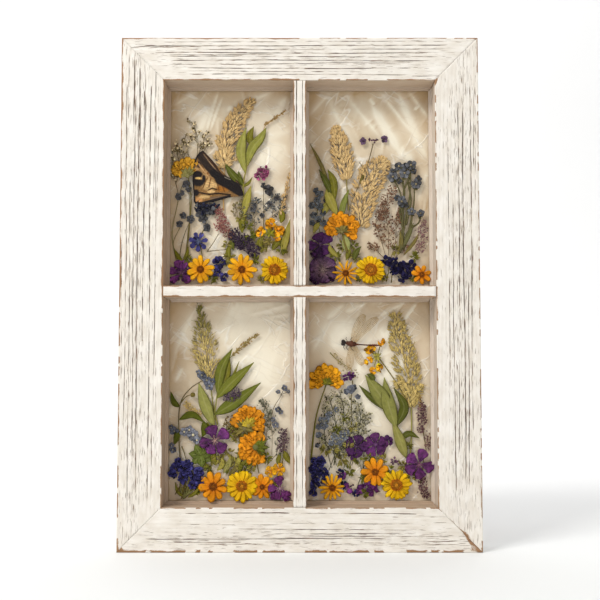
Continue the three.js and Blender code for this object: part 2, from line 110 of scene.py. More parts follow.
# %% [markdown]
# ## Materials
# A material here is a short chain of nodes. This helper adds a node, sets what is the same
# all over, and links what varies, so that each finish below reads as a list of steps.

# %% A helper for node chains
class Finish:
    """A new material with its shader, and a short way to add nodes to it."""

    def __init__(self, name):
        self.material = bpy.data.materials.new(name)
        self.material.use_nodes = True
        self.tree = self.material.node_tree
        self.shader = self.tree.nodes["Principled BSDF"]

    def add(self, kind, inputs=None, **settings):
        """Adds a node; an input that is a socket is linked and any other is set."""
        node = self.tree.nodes.new("ShaderNode" + kind)
        for key, value in settings.items():
            setattr(node, key, value)
        for key, value in (inputs or {}).items():
            self.put(node.inputs[key], value)
        return node

    def put(self, socket, value):
        if isinstance(value, bpy.types.NodeSocket):
            self.tree.links.new(value, socket)
        elif socket.type == "RGBA":
            socket.default_value = (*value, 1.0)
        else:
            socket.default_value = value

    def set(self, **values):
        """Sets the shader's own sockets; an underscore in a name stands for a space."""
        for key, value in values.items():
            self.put(self.shader.inputs[key.replace("_", " ")], value)

    def mix(self, share, first, second, blend="MIX"):
        node = self.add("Mix", data_type="RGBA", blend_type=blend)
        self.put(node.inputs["Factor"], share)
        self.put(node.inputs["A"], first)
        self.put(node.inputs["B"], second)
        return node.outputs["Result"]

    def ramp(self, value, low, high):
        """0 below low, 1 above high, and even between them."""
        inputs = {"Value": value, "From Min": low, "From Max": high}
        return self.add("MapRange", inputs, clamp=True).outputs["Result"]

    def math(self, operation, first, second=0.0):
        node = self.add("Math", operation=operation)
        self.put(node.inputs[0], first)
        self.put(node.inputs[1], second)
        return node.outputs[0]

    def plus(self, first, second):
        return self.math("ADD", first, second)

    def minus(self, first, second):
        return self.math("SUBTRACT", first, second)

    def times(self, first, second):
        return self.math("MULTIPLY", first, second)

    def body(self):
        """Where a point lies in the object."""
        return self.add("TexCoord").outputs["Object"]

    def tint(self):
        """The colour stored on the points."""
        return self.add("Attribute", attribute_name="tint").outputs["Color"]

    def place(self):
        """The two numbers stored on the points."""
        return self.add("UVMap", uv_map="place").outputs[0]

    def noise(self, vector, scale, detail=3.0, stretch=(1.0, 1.0, 1.0)):
        """Noise on a vector that is first stretched by three factors."""
        turned = self.add("Mapping", {"Vector": vector, "Scale": stretch}).outputs[0]
        return self.add("TexNoise", {"Vector": turned, "Scale": scale, "Detail": detail}).outputs["Fac"]

    def bump(self, height, distance, strength=1.0):
        inputs = {"Height": height, "Distance": distance, "Strength": strength}
        self.put(self.shader.inputs["Normal"], self.add("Bump", inputs).outputs[0])


# %% [markdown]
# ## Stage, light and camera
# The frame stands upright on a pale floor. The eye is near the foot of the lower panes and
# looks up a little, so the outline narrows towards the top. The floor curves up behind the
# frame into a backdrop. A large light at the upper left gives the soft shadow at the right.

# %% The curved floor
def sweep_floor():
    """A strip that runs level, turns up in a quarter circle and climbs: profile times width."""
    start, bend_at, radius, top = -2.4, 1.0, 0.8, 3.2
    angle = np.linspace(0, np.pi / 2, 12)
    depth = np.concatenate([[start], bend_at + radius * np.sin(angle), [bend_at + radius]])
    height = np.concatenate([[0.0], radius * (1 - np.cos(angle)), [top]])
    across = np.linspace(-3.5, 3.5, 2)
    grid_x, grid_i = np.meshgrid(across, np.arange(len(depth)))
    points = np.stack([grid_x, depth[grid_i], height[grid_i]], -1).reshape(-1, 3)
    rows = np.arange(len(depth) - 1)[:, None] * 2
    quads = rows + np.array([0, 1, 3, 2])
    mesh = bpy.data.meshes.new("floor")
    mesh.from_pydata(points.tolist(), [], quads.tolist())
    mesh.polygons.foreach_set("use_smooth", np.ones(len(quads), bool))
    floor = bpy.data.objects.new("floor", mesh)
    scene.collection.objects.link(floor)
    return floor


finish = Finish("pale_floor")
distance = finish.add("SeparateXYZ", {"Vector": finish.body()}).outputs[1]
# Painted shade: the floor is greyer near the front and white further back.
floor_painted_light = finish.ramp(distance, -0.5, 0.7)
finish.set(Base_Color=finish.mix(floor_painted_light, paint(232, 234, 233), paint(252, 252, 252)), Roughness=0.8)
floor = sweep_floor()
floor.data.materials.append(finish.material)

# %% Lights and camera
def area_light(name, at, towards, size, power, colour=(1.0, 1.0, 1.0)):
    """A square lamp at a point, turned to face another point."""
    data = bpy.data.lights.new(name, "AREA")
    data.shape = "SQUARE"
    data.size = size
    data.energy = power
    data.color = colour
    lamp = bpy.data.objects.new(name, data)
    scene.collection.objects.link(lamp)
    direction = np.array(towards, float) - np.array(at, float)
    lamp.location = at
    lamp.rotation_euler = Vector(direction.tolist()).to_track_quat("-Z", "Y").to_euler()
    return lamp


MIDDLE = (0.0, 0.0, 0.2)
area_light("key", (-1.1, -1.4, 1.6), MIDDLE, 0.8, 31.0, (1.0, 0.985, 0.96))
area_light("fill", (1.5, -1.9, 0.6), MIDDLE, 1.6, 4.0, (0.97, 0.985, 1.0))
area_light("wash", (0.0, 0.5, 2.6), (0.0, 1.7, 0.7), 2.4, 32.0)

world = bpy.data.worlds.new("studio")
scene.world = world
world.use_nodes = True
SKY_LIGHT = 0.385
sky = world.node_tree.nodes["Background"].inputs
sky["Color"].default_value = (1.0, 1.0, 1.0, 1.0)
sky["Strength"].default_value = SKY_LIGHT
scene.view_settings.view_transform = "Standard"

EYE = (0.00024, -0.869, 0.138)
PITCH = 3.715
LENS = 66.02
camera_data = bpy.data.cameras.new("camera")
camera_data.lens = LENS
camera_data.sensor_width = 36.0
camera = bpy.data.objects.new("camera", camera_data)
camera.location = EYE
camera.rotation_euler = (np.radians(90 + PITCH), 0.0, 0.0)
scene.collection.objects.link(camera)
scene.camera = camera
print("camera at", EYE, "lens", LENS)

# %% [markdown]
# ## Worn white boards
# A board is its cross-section carried from mitre to mitre. The points sit closest together
# on the faces that show, and there the section is pressed in along the grain: a groove is a
# narrow dip that runs for part of the board's length and wanders a little. The same numbers
# say where paint is missing, so a groove is dark exactly where it is deep.

# %% The section of a board
BOARD = 34.0
WALL = 23.0
LIP = 2.5
LIP_BACK = 25.0
REBATE = 29.5
DEPTH = 38.0
ROUNDING = 0.9
FRONT_Y = -DEPTH / 2


def unit(vectors, spare=0.0):
    """The same directions with length one; the spare length keeps a zero from dividing."""
    return vectors / (np.linalg.norm(vectors, axis=-1, keepdims=True) + spare)


def rounded_run(start, end, step, round_start, round_end):
    """Points from start to end about a step apart, stopping short where a corner is rounded."""
    start, end = np.array(start, float), np.array(end, float)
    length = np.linalg.norm(end - start)
    count = max(1, int(round((length - round_start - round_end) / step)))
    along = np.linspace(round_start, length - round_end, count + 1)
    return start + (end - start) / length * along[:, None]


def corner_arc(before, corner, after, radius):
    """A rounded corner: a curve pulled from one side towards the corner and on to the next."""
    corner = np.array(corner, float)
    ways = unit(np.array([before, after], float) - corner)
    share = np.linspace(0, 1, 6)[1:-1, None]
    first, last = corner + ways[0] * radius, corner + ways[1] * radius
    return (1 - share) ** 2 * first + 2 * share * (1 - share) * corner + share**2 * last


def closed_section(corners, steps, radii):
    """A closed outline: straight runs at the given steps, with the given rounding at corners."""
    count = len(corners)
    runs = []
    for i in range(count):
        after = (i + 1) % count
        runs.append(rounded_run(corners[i], corners[after], steps[i], radii[i], radii[after]))
        if radii[after] > 0:
            runs.append(corner_arc(corners[i], corners[after], corners[(i + 2) % count], radii[after]))
        else:
            runs[-1] = runs[-1][:-1]
    return np.concatenate(runs)


FINE = 0.2
board_corners = [(0, 0), (BOARD, 0), (BOARD, WALL), (BOARD + LIP, WALL), (BOARD + LIP, LIP_BACK)]
board_corners += [(REBATE, LIP_BACK), (REBATE, DEPTH), (0, DEPTH)]
board_steps = [FINE, 0.8, 0.8, 1.0, 7.0, 4.0, 3.0, 0.45]
board_radii = [ROUNDING, 0.6, 0.0, 0.4, 0.0, 0.0, 0.5, ROUNDING]
board_section = closed_section(board_corners, board_steps, board_radii)
print("points round a board:", len(board_section))

# %% [markdown]
# A streak is one groove: where it lies across the board, where it starts and stops, how
# wide and deep it is. Some are listed one by one, where the boards have their longest cracks.
# The rest are drawn from a seeded list, so they fall in the same places every time.

# %% Streaks along the grain
def streaks(seed, count, across, lengths, widths, strengths, board_length):
    """Seeded grooves, one row each: across, middle, half length, width, strength, wander."""
    draw = np.random.default_rng(seed)
    ranges = [across, (-0.5, 0.5), lengths, widths, strengths, (0, TURN)]
    rows = np.stack([draw.uniform(low, high, count) for low, high in ranges], -1)
    return rows * [1, board_length, 0.5, 1, 1, 1]


def groove_depth(along, across, rows):
    """How deep the paint is broken at each point: the largest of all streaks there.

    A streak's share across is a bell round its wandering middle line, and along it is a flat
    top with tapered, slightly broken ends.
    """
    depth = np.zeros(np.broadcast(along, across).shape)
    for middle, centre, half, width, strength, wander in rows:
        line = middle + 0.3 * np.sin(along / 41.0 + wander) + 0.1 * np.sin(along / 13.0 + 2 * wander)
        bell = np.exp(-(((across - line) / width) ** 2))
        reach = np.clip((half - np.abs(along - centre)) / 9.0, 0, 1)
        broken = 0.7 + 0.26 * np.sin(along / 17.0 + 5 * wander) + 0.2 * np.sin(along / 5.3 + 9 * wander)
        broken = np.clip(broken + 0.2 * np.sin(along / 2.3 + 3 * wander), 0.46, 1)
        depth = np.maximum(depth, strength * bell * reach * broken)
    return depth


# %% Boards from a section
ALONG_STEP = 1.9


def board_surface(length, rows_front, rows_side, seed, worn):
    """A board lying along its grain: the section carried along, with grooves pressed in.

    Returns points as (along, back, inward) and the wear of each as (bare, dark, painted); on the
    inner walls the painted share also holds painted light.
    """
    draw = np.random.default_rng(seed)
    share = np.linspace(-0.5, 0.5, int(length / ALONG_STEP) + 1)[:, None]
    inward, back = board_section.T[:, None]
    along = share * (length - 2 * inward - 0.03)
    on_front = (back < 0.05) & (inward > 0.3) & (inward < BOARD - 0.2)
    on_side = (inward < 0.05) & (back > 0.3)
    dip_front = groove_depth(along, inward + 0 * along, rows_front) * on_front
    dip_side = groove_depth(along, back + 0 * along, rows_side) * on_side
    raw = (back > DEPTH - 0.05) | ((back > LIP_BACK - 0.05) & (inward > 1))
    painted = np.where(raw, 0.0, 1.0) + 0 * along
    edge_front = np.hypot(inward, back)
    edge_inner = np.hypot(inward - BOARD, back)
    edge_back = np.hypot(inward, back - DEPTH)
    nearest = np.minimum(np.minimum(edge_front / worn["rubbed"], edge_inner), edge_back)
    phase = draw.uniform(0, TURN, 6)
    wave = 0.5 + 0.22 * np.sin(along / 11 + phase[0]) + 0.2 * np.sin(along / 4.3 + phase[1])
    wave = wave + 0.16 * np.sin(along / 1.7 + phase[2]) + 0.12 * np.sin(along / 27 + phase[3])
    bare = np.clip(1.1 + 0.4 * wave - nearest / (0.75 + 0.8 * np.clip(wave, 0, 1)), 0, 1)
    from_end = (0.5 - np.abs(share)) * length + 0 * inward
    corner = np.where(share < 0, *worn["cracks"]) * (0.9 * wave - 0.25 * from_end / (0.4 + wave))
    bare = np.clip(bare + corner * (wave > 0.62), 0, 1)
    middle, spread, most = worn["crowding"]
    crowded = most * np.exp(-(((inward - middle) / spread) ** 2))
    dark = np.clip(dip_front + dip_side + crowded * on_front, 0, 1)
    # The inner walls keep only a share of the white. The share set for each board is also painted light:
    # whiter on the right stile, which faces the lamp, and browner on the walls in shade.
    walls = (inward > BOARD - 0.1) & (back > 0.7)
    painted = np.where(walls, worn["wall"] * painted, painted)
    chip = bare * 0.2 * np.clip(wave, 0, 1)
    rise_in = np.where(on_side, dip_side * 0.4, 0) + np.where(edge_front < 1.2, chip * 0.5, 0)
    rise_back = np.where(on_front, dip_front * 0.55, 0) + np.where(edge_front < 1.2, chip * 0.5, 0)
    ripple = 0.05 * np.sin(inward * 2.1 + phase[4] + along / 31) * on_front
    points = np.stack([along, back + rise_back + ripple + 0.06 * on_front, inward + rise_in], -1)
    wear = np.stack([bare, dark, painted], -1)
    place = np.stack([along + 0 * inward, inward + back + 0 * along], -1) * 0.01
    return points, wear, place


def tube_faces(rings, ring):
    """Faces between neighbouring rings of points, each ring closed on itself."""
    i, j = np.meshgrid(np.arange(rings - 1), np.arange(ring), indexing="ij")
    k = (j + 1) % ring
    return np.stack([i * ring + j, (i + 1) * ring + j, (i + 1) * ring + k, i * ring + k], -1).reshape(-1, 4)


def closed_tube(points, wear, place, end_wear):
    """A whole board: its carried section, with a point in the middle of each end and a fan
    of faces from there that closes it."""
    rings, ring = points.shape[:2]
    j = np.arange(ring)
    k = (j + 1) % ring
    first, last = rings * ring, rings * ring + 1
    start = np.stack([np.full(ring, first), j, k], -1)
    stop = np.stack([np.full(ring, last), (rings - 1) * ring + k, (rings - 1) * ring + j], -1)
    return surface(
        np.vstack([points.reshape(-1, 3), points[0].mean(0), points[-1].mean(0)]),
        tube_faces(rings, ring),
        np.concatenate([start, stop]),
        np.vstack([wear.reshape(-1, 3), end_wear, end_wear]),
        np.vstack([place.reshape(-1, 2), np.zeros((2, 2))]),
    )


# %% [markdown]
# The four boards are one function with different streaks, each turned into its place round
# the middle of the frame. The brown band along the outer edge is widest along the foot.

# %% Streaks listed one by one, and the four boards
WIDTH, HEIGHT = 280.0, 400.0
LONG_CRACKS = {
    "bottom_rail": [
        (10.5, -25, 95, 0.24, 0.9, 0.4), (12.2, 60, 60, 0.22, 0.7, 1.2), (29.6, 0, 95, 0.27, 0.95, 2.0),
        (17.5, 20, 70, 0.25, 0.8, 2.7), (22, 40, 50, 0.24, 0.75, 3.3), (21, -50, 40, 0.22, 0.7, 4.1),
        (14.5, 30, 55, 0.22, 0.8, 4.8), (8, -70, 30, 0.22, 0.8, 5.5),
    ],
    "right_stile": [
        (12.5, 0, 150, 0.27, 0.95, 0.2), (20.5, -40, 120, 0.25, 0.8, 1.7), (6.5, 30, 140, 0.25, 0.85, 2.9),
        (16, 60, 90, 0.25, 0.85, 3.6), (24, 20, 110, 0.24, 0.75, 4.4), (9.5, -70, 80, 0.25, 0.9, 5.3),
    ],
    "top_rail": [
        (3.2, -10, 124, 0.24, 0.75, 5.9), (6.4, 5, 122, 0.28, 0.9, 0.3), (9.4, -12, 112, 0.24, 0.8, 1.1),
        (12.2, 8, 112, 0.28, 0.95, 2.3), (15.2, -4, 106, 0.24, 0.85, 3.1),
        (18.2, 3, 104, 0.28, 0.95, 4.0), (21.2, 12, 92, 0.24, 0.8, 5.2), (24.4, -6, 98, 0.28, 0.9, 1.9),
        (27, 20, 70, 0.24, 0.75, 2.6), (29.4, 4, 90, 0.26, 0.85, 3.7), (13.7, 60, 44, 0.22, 0.75, 4.6),
        (19.8, -50, 44, 0.22, 0.75, 0.8),
    ],
    "left_stile": [
        (23.5, 0, 165, 0.32, 1.0, 0.6), (27.8, -30, 120, 0.25, 0.8, 2.6), (14, 10, 150, 0.28, 0.85, 4.4),
        (8, 40, 130, 0.25, 0.8, 1.3), (18.5, -60, 100, 0.27, 0.9, 3.5), (11, -20, 150, 0.25, 0.75, 5.2),
        (5, -30, 140, 0.25, 0.75, 2.0), (6, -160, 30, 0.24, 0.8, 0.3), (10.5, -150, 34, 0.24, 0.85, 1.1),
        (15, -150, 30, 0.24, 0.8, 2.3), (19.5, -150, 28, 0.24, 0.85, 3.1), (29.2, -110, 60, 0.24, 0.7, 5.2),
    ],
}
# For each board: its quarter turns from the foot, how many streaks are drawn, how crowded the
# finest breaks are (middle, spread, most), how far the joint at each end has opened, how wide
# the brown band along the outer edge is, and how much of the white the inner walls keep over
# bare wood. That share is thin paint and painted light at once: high on the right stile, whose
# inner side faces the lamp, and low on the sides in shade.
BOARD_WEAR = {
    "bottom_rail": dict(turns=0, drawn=8, crowding=(10, 8, 0.18), cracks=(0.5, 1.5), rubbed=2.3, wall=0.3),
    "right_stile": dict(
        turns=1, drawn=12, crowding=(14, 11, 0.19), cracks=(0.9, 0.7), rubbed=1.2, wall=0.68,
    ),
    "top_rail": dict(turns=2, drawn=6, crowding=(17, 14, 0.1), cracks=(0.7, 0.0), rubbed=1.1, wall=0.4),
    "left_stile": dict(turns=3, drawn=16, crowding=(13, 9, 0.2), cracks=(0.0, 0.5), rubbed=1.4, wall=0.32),
}


def stood_up(points, turns, reach):
    """Moves a board from lying along X at the foot to its side of the frame."""
    along, back, inward = points[:, 0], points[:, 1], points[:, 2]
    angle = turns * np.pi / 2
    out = inward - reach
    x = along * np.cos(angle) - out * np.sin(angle)
    z = along * np.sin(angle) + out * np.cos(angle)
    return np.stack([x, FRONT_Y + back, z + HEIGHT / 2], -1)


boards = {}
for number, (name, worn) in enumerate(BOARD_WEAR.items()):
    length, reach = (WIDTH, HEIGHT / 2) if worn["turns"] % 2 == 0 else (HEIGHT, WIDTH / 2)
    drawn = streaks(10 + number, worn["drawn"], (2, 32), (20, 120), (0.2, 0.25), (0.4, 0.85), length)
    side_rows = streaks(20 + number, 40, (1, 37), (20, 160), (0.3, 0.5), (0.4, 0.95), length)
    front_rows = np.vstack([drawn, LONG_CRACKS[name]])
    board = closed_tube(*board_surface(length, front_rows, side_rows, 30 + number, worn), (0.6, 0.3, 0.5))
    board["points"] = stood_up(board["points"], worn["turns"], reach)
    boards[name] = board

# %% [markdown]
# ## The paint
# Three layers show on the real boards: creamy white paint, the brown wood that shows where
# an edge is rubbed, and near-black dirt in the grooves. The worn amounts come from the mesh.
# Noise that is stretched along the grain adds the flecks too small to be worth points.

# %% Worn paint over wood
def worn_paint(name):
    """White paint, then flecks, then bare wood at the rubbed edges, then dirt in the grooves."""
    finish = Finish(name)
    place = finish.place()
    wear = finish.tint()
    parts = finish.add("SeparateColor", {"Color": wear})
    bare, dark, painted = (parts.outputs[i] for i in range(3))
    grain = finish.noise(place, 2.0, 5.0, (1.4, 80.0, 1.0))
    dash = finish.noise(place, 2.0, 2.0, (4.6, 96.0, 1.0))
    patch = finish.noise(place, 2.0, 3.0, (1.6, 8.0, 1.0))
    cloud = finish.noise(place, 2.0, 3.0, (4.0, 9.0, 1.0))
    spots = finish.noise(place, 3.0, 2.0, (36.0, 70.0, 1.0))
    wood = finish.mix(grain, paint(118, 84, 54), paint(184, 142, 102))
    white = finish.mix(finish.ramp(cloud, 0.3, 0.7), paint(233, 225, 213), paint(249, 244, 236))
    white = finish.mix(finish.ramp(grain, 0.3, 0.7), white, finish.mix(0.12, white, paint(176, 152, 124)))
    thin = finish.plus(dash, finish.times(dark, 0.5))
    fine = finish.times(finish.ramp(thin, 0.68, 0.71), finish.ramp(patch, 0.36, 0.46))
    fleck = finish.mix(spots, paint(76, 62, 54), paint(160, 128, 98))
    colour = finish.mix(finish.times(fine, 0.85), white, fleck)
    rubbed = finish.ramp(finish.plus(bare, finish.times(spots, 0.6)), 0.74, 0.96)
    colour = finish.mix(rubbed, colour, wood)
    stain = finish.ramp(finish.plus(dark, finish.times(spots, 0.2)), 0.5, 0.66)
    colour = finish.mix(finish.times(stain, 0.74), colour, paint(148, 116, 88))
    dirt = finish.ramp(finish.plus(dark, finish.times(spots, 0.3)), 0.64, 0.82)
    colour = finish.mix(finish.times(dirt, 0.94), colour, paint(48, 38, 32))
    raw = finish.mix(grain, paint(140, 102, 60), paint(188, 150, 104))
    # The white's share here also carries the painted light given to the inner walls.
    colour = finish.mix(painted, raw, colour)
    height = finish.minus(finish.times(grain, 0.5), fine)
    height = finish.minus(height, finish.times(rubbed, 0.5))
    finish.set(Base_Color=colour, Roughness=0.72)
    finish.bump(height, 0.0003, 0.5)
    return finish.material


paint_finish = worn_paint("worn_white_paint")
for name, board in boards.items():
    piece(f"{name}_worn", board, paint_finish, (name,))

# %% [markdown]
# ## Glazing bars
# The bars have the same finish and carry their lips as the boards do. The upright bar has
# two worked lines down its face, and each bar is cut half away where they cross.

# %% Bars from a section
BAR_BACK = 28.0
RIB = 2.0
# Room left where the bars cross, where a bar's lips stop, and at a bar's ends.
CROSS_ROOM, LIP_ROOM, END_ROOM = 0.3, 0.4, 0.6
NARROWED = 0.97


def bar_section(half):
    """A closed outline across a bar, as (across, back)."""
    corners = [(-half, 0), (half, 0), (half, WALL), (half + LIP, WALL), (half + LIP, LIP_BACK)]
    corners += [(RIB, LIP_BACK), (RIB, BAR_BACK), (-RIB, BAR_BACK), (-RIB, LIP_BACK)]
    corners += [(-half - LIP, LIP_BACK), (-half - LIP, WALL), (-half, WALL)]
    steps = [FINE, 0.9, 2.0, 2.0, 4.0, 3.0, 4.0, 3.0, 4.0, 2.0, 2.0, 0.9]
    radii = [0.6, 0.6, 0.0, 0.4, 0.0, 0.0, 0.0, 0.0, 0.0, 0.0, 0.4, 0.0]
    return closed_section(corners, steps, radii)


def bar_surface(length, half, lines, rows, seed, notch, rubbed):
    """A bar along its grain: points as (along, back, across) and its wear, as for a board.
    Lines are where narrow dips are worked in its face."""
    draw = np.random.default_rng(seed)
    across, back = bar_section(half).T[:, None]
    steps = np.linspace(-0.5, 0.5, int(length / ALONG_STEP) + 1) * length
    near = notch + np.array([-0.02, 0.02, LIP + 0.28, LIP + 0.32])
    steps = np.sort(np.concatenate([steps, near, -near]))
    along = steps[:, None] + 0 * across
    on_front = (back < 0.05) & (np.abs(across) < half - 0.5)
    dip = groove_depth(along, across + 0 * along, rows) * on_front
    worked = 0 * across
    for line in lines:
        worked = worked + np.exp(-(((across - line) / 0.3) ** 2)) * on_front
    phase = draw.uniform(0, TURN, 4)
    wave = 0.5 + 0.25 * np.sin(along / 9 + phase[0]) + 0.2 * np.sin(along / 3.1 + phase[1])
    wave = wave + 0.15 * np.sin(along / 1.5 + phase[2])
    nearest = np.hypot(np.abs(across) - half, back) / np.where(across < 0, rubbed, 1.15)
    bare = np.clip(1.0 + 0.5 * wave - nearest / (0.5 + 0.6 * np.clip(wave, 0, 1)), 0, 1)
    dark = np.clip(dip + worked * np.clip(0.3 + 0.8 * wave, 0, 1) * 0.85, 0, 1)
    painted = np.where(back > LIP_BACK - 0.05, 0.0, np.where(back > 0.7, 0.44, 1.0)) + 0 * along
    sunk = back + 0.5 * dip + 0.6 * worked + 0.05 * on_front
    points = np.stack([along, sunk, across + 0 * along], -1)
    place = np.stack([along, across + back + 0 * along], -1) * 0.01
    return points, np.stack([bare, dark, painted], -1), place


def halved(part, notch, half, front_kept):
    """Cuts a bar where the other one crosses it. The bar in front loses its back half there,
    and its lips for a little further. The bar behind loses its front half."""
    points = part["points"]
    inside = np.abs(points[:, 0]) < notch
    mid = WALL / 2
    if not front_kept:
        points[inside, 1] = np.maximum(points[inside, 1], mid)
        return part
    deep = points[:, 1] > mid - CROSS_ROOM
    points[inside & deep, 1] = mid - CROSS_ROOM
    beside = (np.abs(points[:, 0]) < notch + LIP + CROSS_ROOM) & (points[:, 1] > WALL - LIP_ROOM)
    points[beside, 1] = WALL - LIP_ROOM
    within = (inside & deep) | beside
    points[within, 2] = np.clip(points[within, 2], -NARROWED * half, NARROWED * half)
    return part


def whole_bar(length, half, lines, rows, seed, notch, front_kept, rubbed):
    """A bar that is cut for the other one, and stops short of the boards' lips at its ends."""
    arrays = bar_surface(length, half, lines, rows, seed, notch, rubbed)
    part = halved(closed_tube(*arrays, (0.3, 0.3, 1.0)), notch, half, front_kept)
    points = part["points"]
    past = (np.abs(points[:, 0]) > length / 2 - LIP - LIP_ROOM) & (points[:, 1] > WALL - LIP_ROOM)
    points[past, 1] = WALL - LIP_ROOM
    points[past, 2] = np.clip(points[past, 2], -NARROWED * half, NARROWED * half)
    return part


upright_length = HEIGHT - 2 * BOARD - END_ROOM
crossbar_length = WIDTH - 2 * BOARD - END_ROOM
upright_rows = streaks(41, 12, (-4, 4), (10, 70), (0.26, 0.36), (0.3, 0.8), upright_length)
crossbar_rows = streaks(42, 5, (-3.5, 3.5), (6, 26), (0.24, 0.3), (0.2, 0.5), crossbar_length)
upright = whole_bar(upright_length, 5.0, (-2.3, 2.3), upright_rows, 43, 4.56, False, 1.2)
crossbar = whole_bar(crossbar_length, 4.5, (), crossbar_rows, 44, 5.04, True, 1.7)
along, back, across = upright["points"].T
upright["points"] = np.stack([-across, FRONT_Y + back, along + HEIGHT / 2], -1)
along, back, across = crossbar["points"].T
crossbar["points"] = np.stack([along, FRONT_Y + back, across + HEIGHT / 2], -1)
piece("upright_bar_worn", upright, paint_finish, ("upright_bar",))
piece("crossbar_worn", crossbar, paint_finish, ("crossbar",))

# %% [markdown]
# ## Pearly sheets
# Each pane is lined with a glossy, pearly film that was crumpled and smoothed by hand. A
# sheet here is a height over its face: soft hills, and creases that are sharp ridges fading
# out from a line. Ridges touch the sheet's true front plane and hollows lie behind it.

# %% Creases and sheets
SHEET_FRONT = 6.3
SHEET_BACK = 8.3
PANES = {
    "upper_left": (-106.0, 204.5),
    "upper_right": (5.0, 204.5),
    "lower_left": (-106.0, 34.0),
    "lower_right": (5.0, 34.0),
}

# Creases listed one by one, a row each: start right, start up, end right, end up, height, width.
CREASES = {
    "upper_left": [
        (31, 126, 40, 157, 1.0, 1.0), (34.5, 128, 43, 152, 0.9, 0.9), (22, 116, 34, 146, 0.6, 4.0),
        (49, 143, 51.5, 147, 1.2, 1.0), (88, 136, 95, 154, 0.9, 3.0), (78, 96, 94, 114, 0.9, 4.0),
        (62, 150, 84, 158, 0.6, 2.0), (6, 148, 22, 158, 0.6, 2.4), (84, 70, 100, 84, 0.6, 3.0),
        (34, 28, 44, 50, 0.5, 4.0), (70, 118, 98, 126, 0.5, 2.0),
    ],
    "upper_right": [
        (54, 147, 76, 110, 1.2, 2.6), (74, 112, 87, 102, 0.9, 3.0), (76, 156, 97, 106, 1.2, 2.8),
        (52, 153, 56, 148, 1.4, 1.0), (88, 144, 93, 147.5, 1.3, 1.0), (20, 150, 40, 108, 0.6, 3.0),
        (34, 154, 60, 122, 0.6, 1.6), (84, 158, 99, 138, 0.7, 1.6), (4, 140, 20, 158, 0.5, 2.4),
        (62, 156, 92, 118, 0.7, 1.4), (90, 70, 99, 96, 0.5, 3.0),
    ],
    "lower_left": [
        (68, 150, 98, 158, 0.9, 1.2), (74, 146, 100, 151, 0.9, 1.2), (82, 96, 94, 142, 1.0, 6.0),
        (66, 112, 76, 120, 0.7, 2.6), (46, 130, 60, 158, 0.7, 3.4), (8, 120, 22, 152, 0.5, 2.6),
        (8, 96, 13, 106, 0.8, 1.4), (60, 124, 96, 130, 0.6, 2.0), (78, 108, 84, 116, 0.7, 1.6),
        (50, 100, 60, 130, 0.5, 3.0), (20, 150, 44, 158, 0.4, 2.0),
    ],
    "lower_right": [
        (79, 145, 88, 157, 1.2, 0.9), (33, 152, 48, 158, 1.0, 1.2), (22, 124, 40, 142, 0.9, 5.0),
        (62, 98, 80, 112, 1.1, 4.0), (18, 146, 30, 157, 0.7, 1.6), (56, 118, 70, 140, 0.6, 3.0),
        (6, 120, 18, 142, 0.4, 3.0), (42, 66, 54, 84, 0.9, 3.0), (60, 148, 78, 158, 0.6, 1.4),
        (40, 100, 52, 128, 0.5, 2.6),
    ],
}

# Painted highlights, where the film would catch the light: right, up, reach both ways, and how much.
PAINTED_HIGHLIGHTS = {
    "upper_left": [(84, 128, 22, 26, 0.34), (30, 142, 24, 18, 0.14), (82, 96, 16, 20, 0.2)],
    "upper_right": [(16, 140, 16, 18, 0.08), (56, 128, 18, 22, 0.04)],
    "lower_left": [
        (80, 126, 32, 30, 0.5), (82, 148, 30, 22, 0.8), (24, 140, 26, 20, 0.2), (84, 100, 20, 34, 0.2),
        (92, 48, 16, 40, 0.4),
    ],
    "lower_right": [
        (36, 134, 30, 22, 0.34), (12, 146, 20, 16, 0.2), (60, 86, 18, 26, 0.4), (34, 66, 26, 30, 0.4),
    ],
}


def crease_height(x, z, rows):
    """Each crease is a ridge: highest on its line, falling off evenly to both sides."""
    height = np.zeros_like(x)
    for x0, z0, x1, z1, rise, width in rows:
        dx, dz = x1 - x0, z1 - z0
        length = np.hypot(dx, dz)
        t = ((x - x0) * dx + (z - z0) * dz) / length**2
        beside = np.abs((x - x0) * dz - (z - z0) * dx) / length
        ends = np.clip(np.minimum(t, 1 - t) * 3 + 0.35, 0, 1)
        height = np.maximum(height, rise * ends * np.exp(-beside / width))
    return height


def soft_hills(x, z, seed):
    """Low folds: the largest of several slanted waves, so that they meet in soft edges."""
    draw = np.random.default_rng(seed)
    layers = []
    for _ in range(7):
        angle, wave_length, phase = draw.uniform(0, np.pi), draw.uniform(26, 60), draw.uniform(0, TURN)
        line = (x * np.cos(angle) + z * np.sin(angle)) * 2 * np.pi / wave_length
        layers.append(np.sin(line + phase + 0.7 * np.sin(z / 19 + phase)))
    ordered = np.sort(np.stack(layers), 0)
    return 0.5 * ordered[-1] + 0.3 * ordered[-2] - 0.2 * ordered[0]


SHEET_STEP = 1.05
CRUMPLES = 60
PANE_WIDE, PANE_TALL = 101, 161
# The film's tones in painted shade and in painted light.
FILM_SHADED, FILM_LIT = paint(196, 163, 116), paint(255, 247, 226)


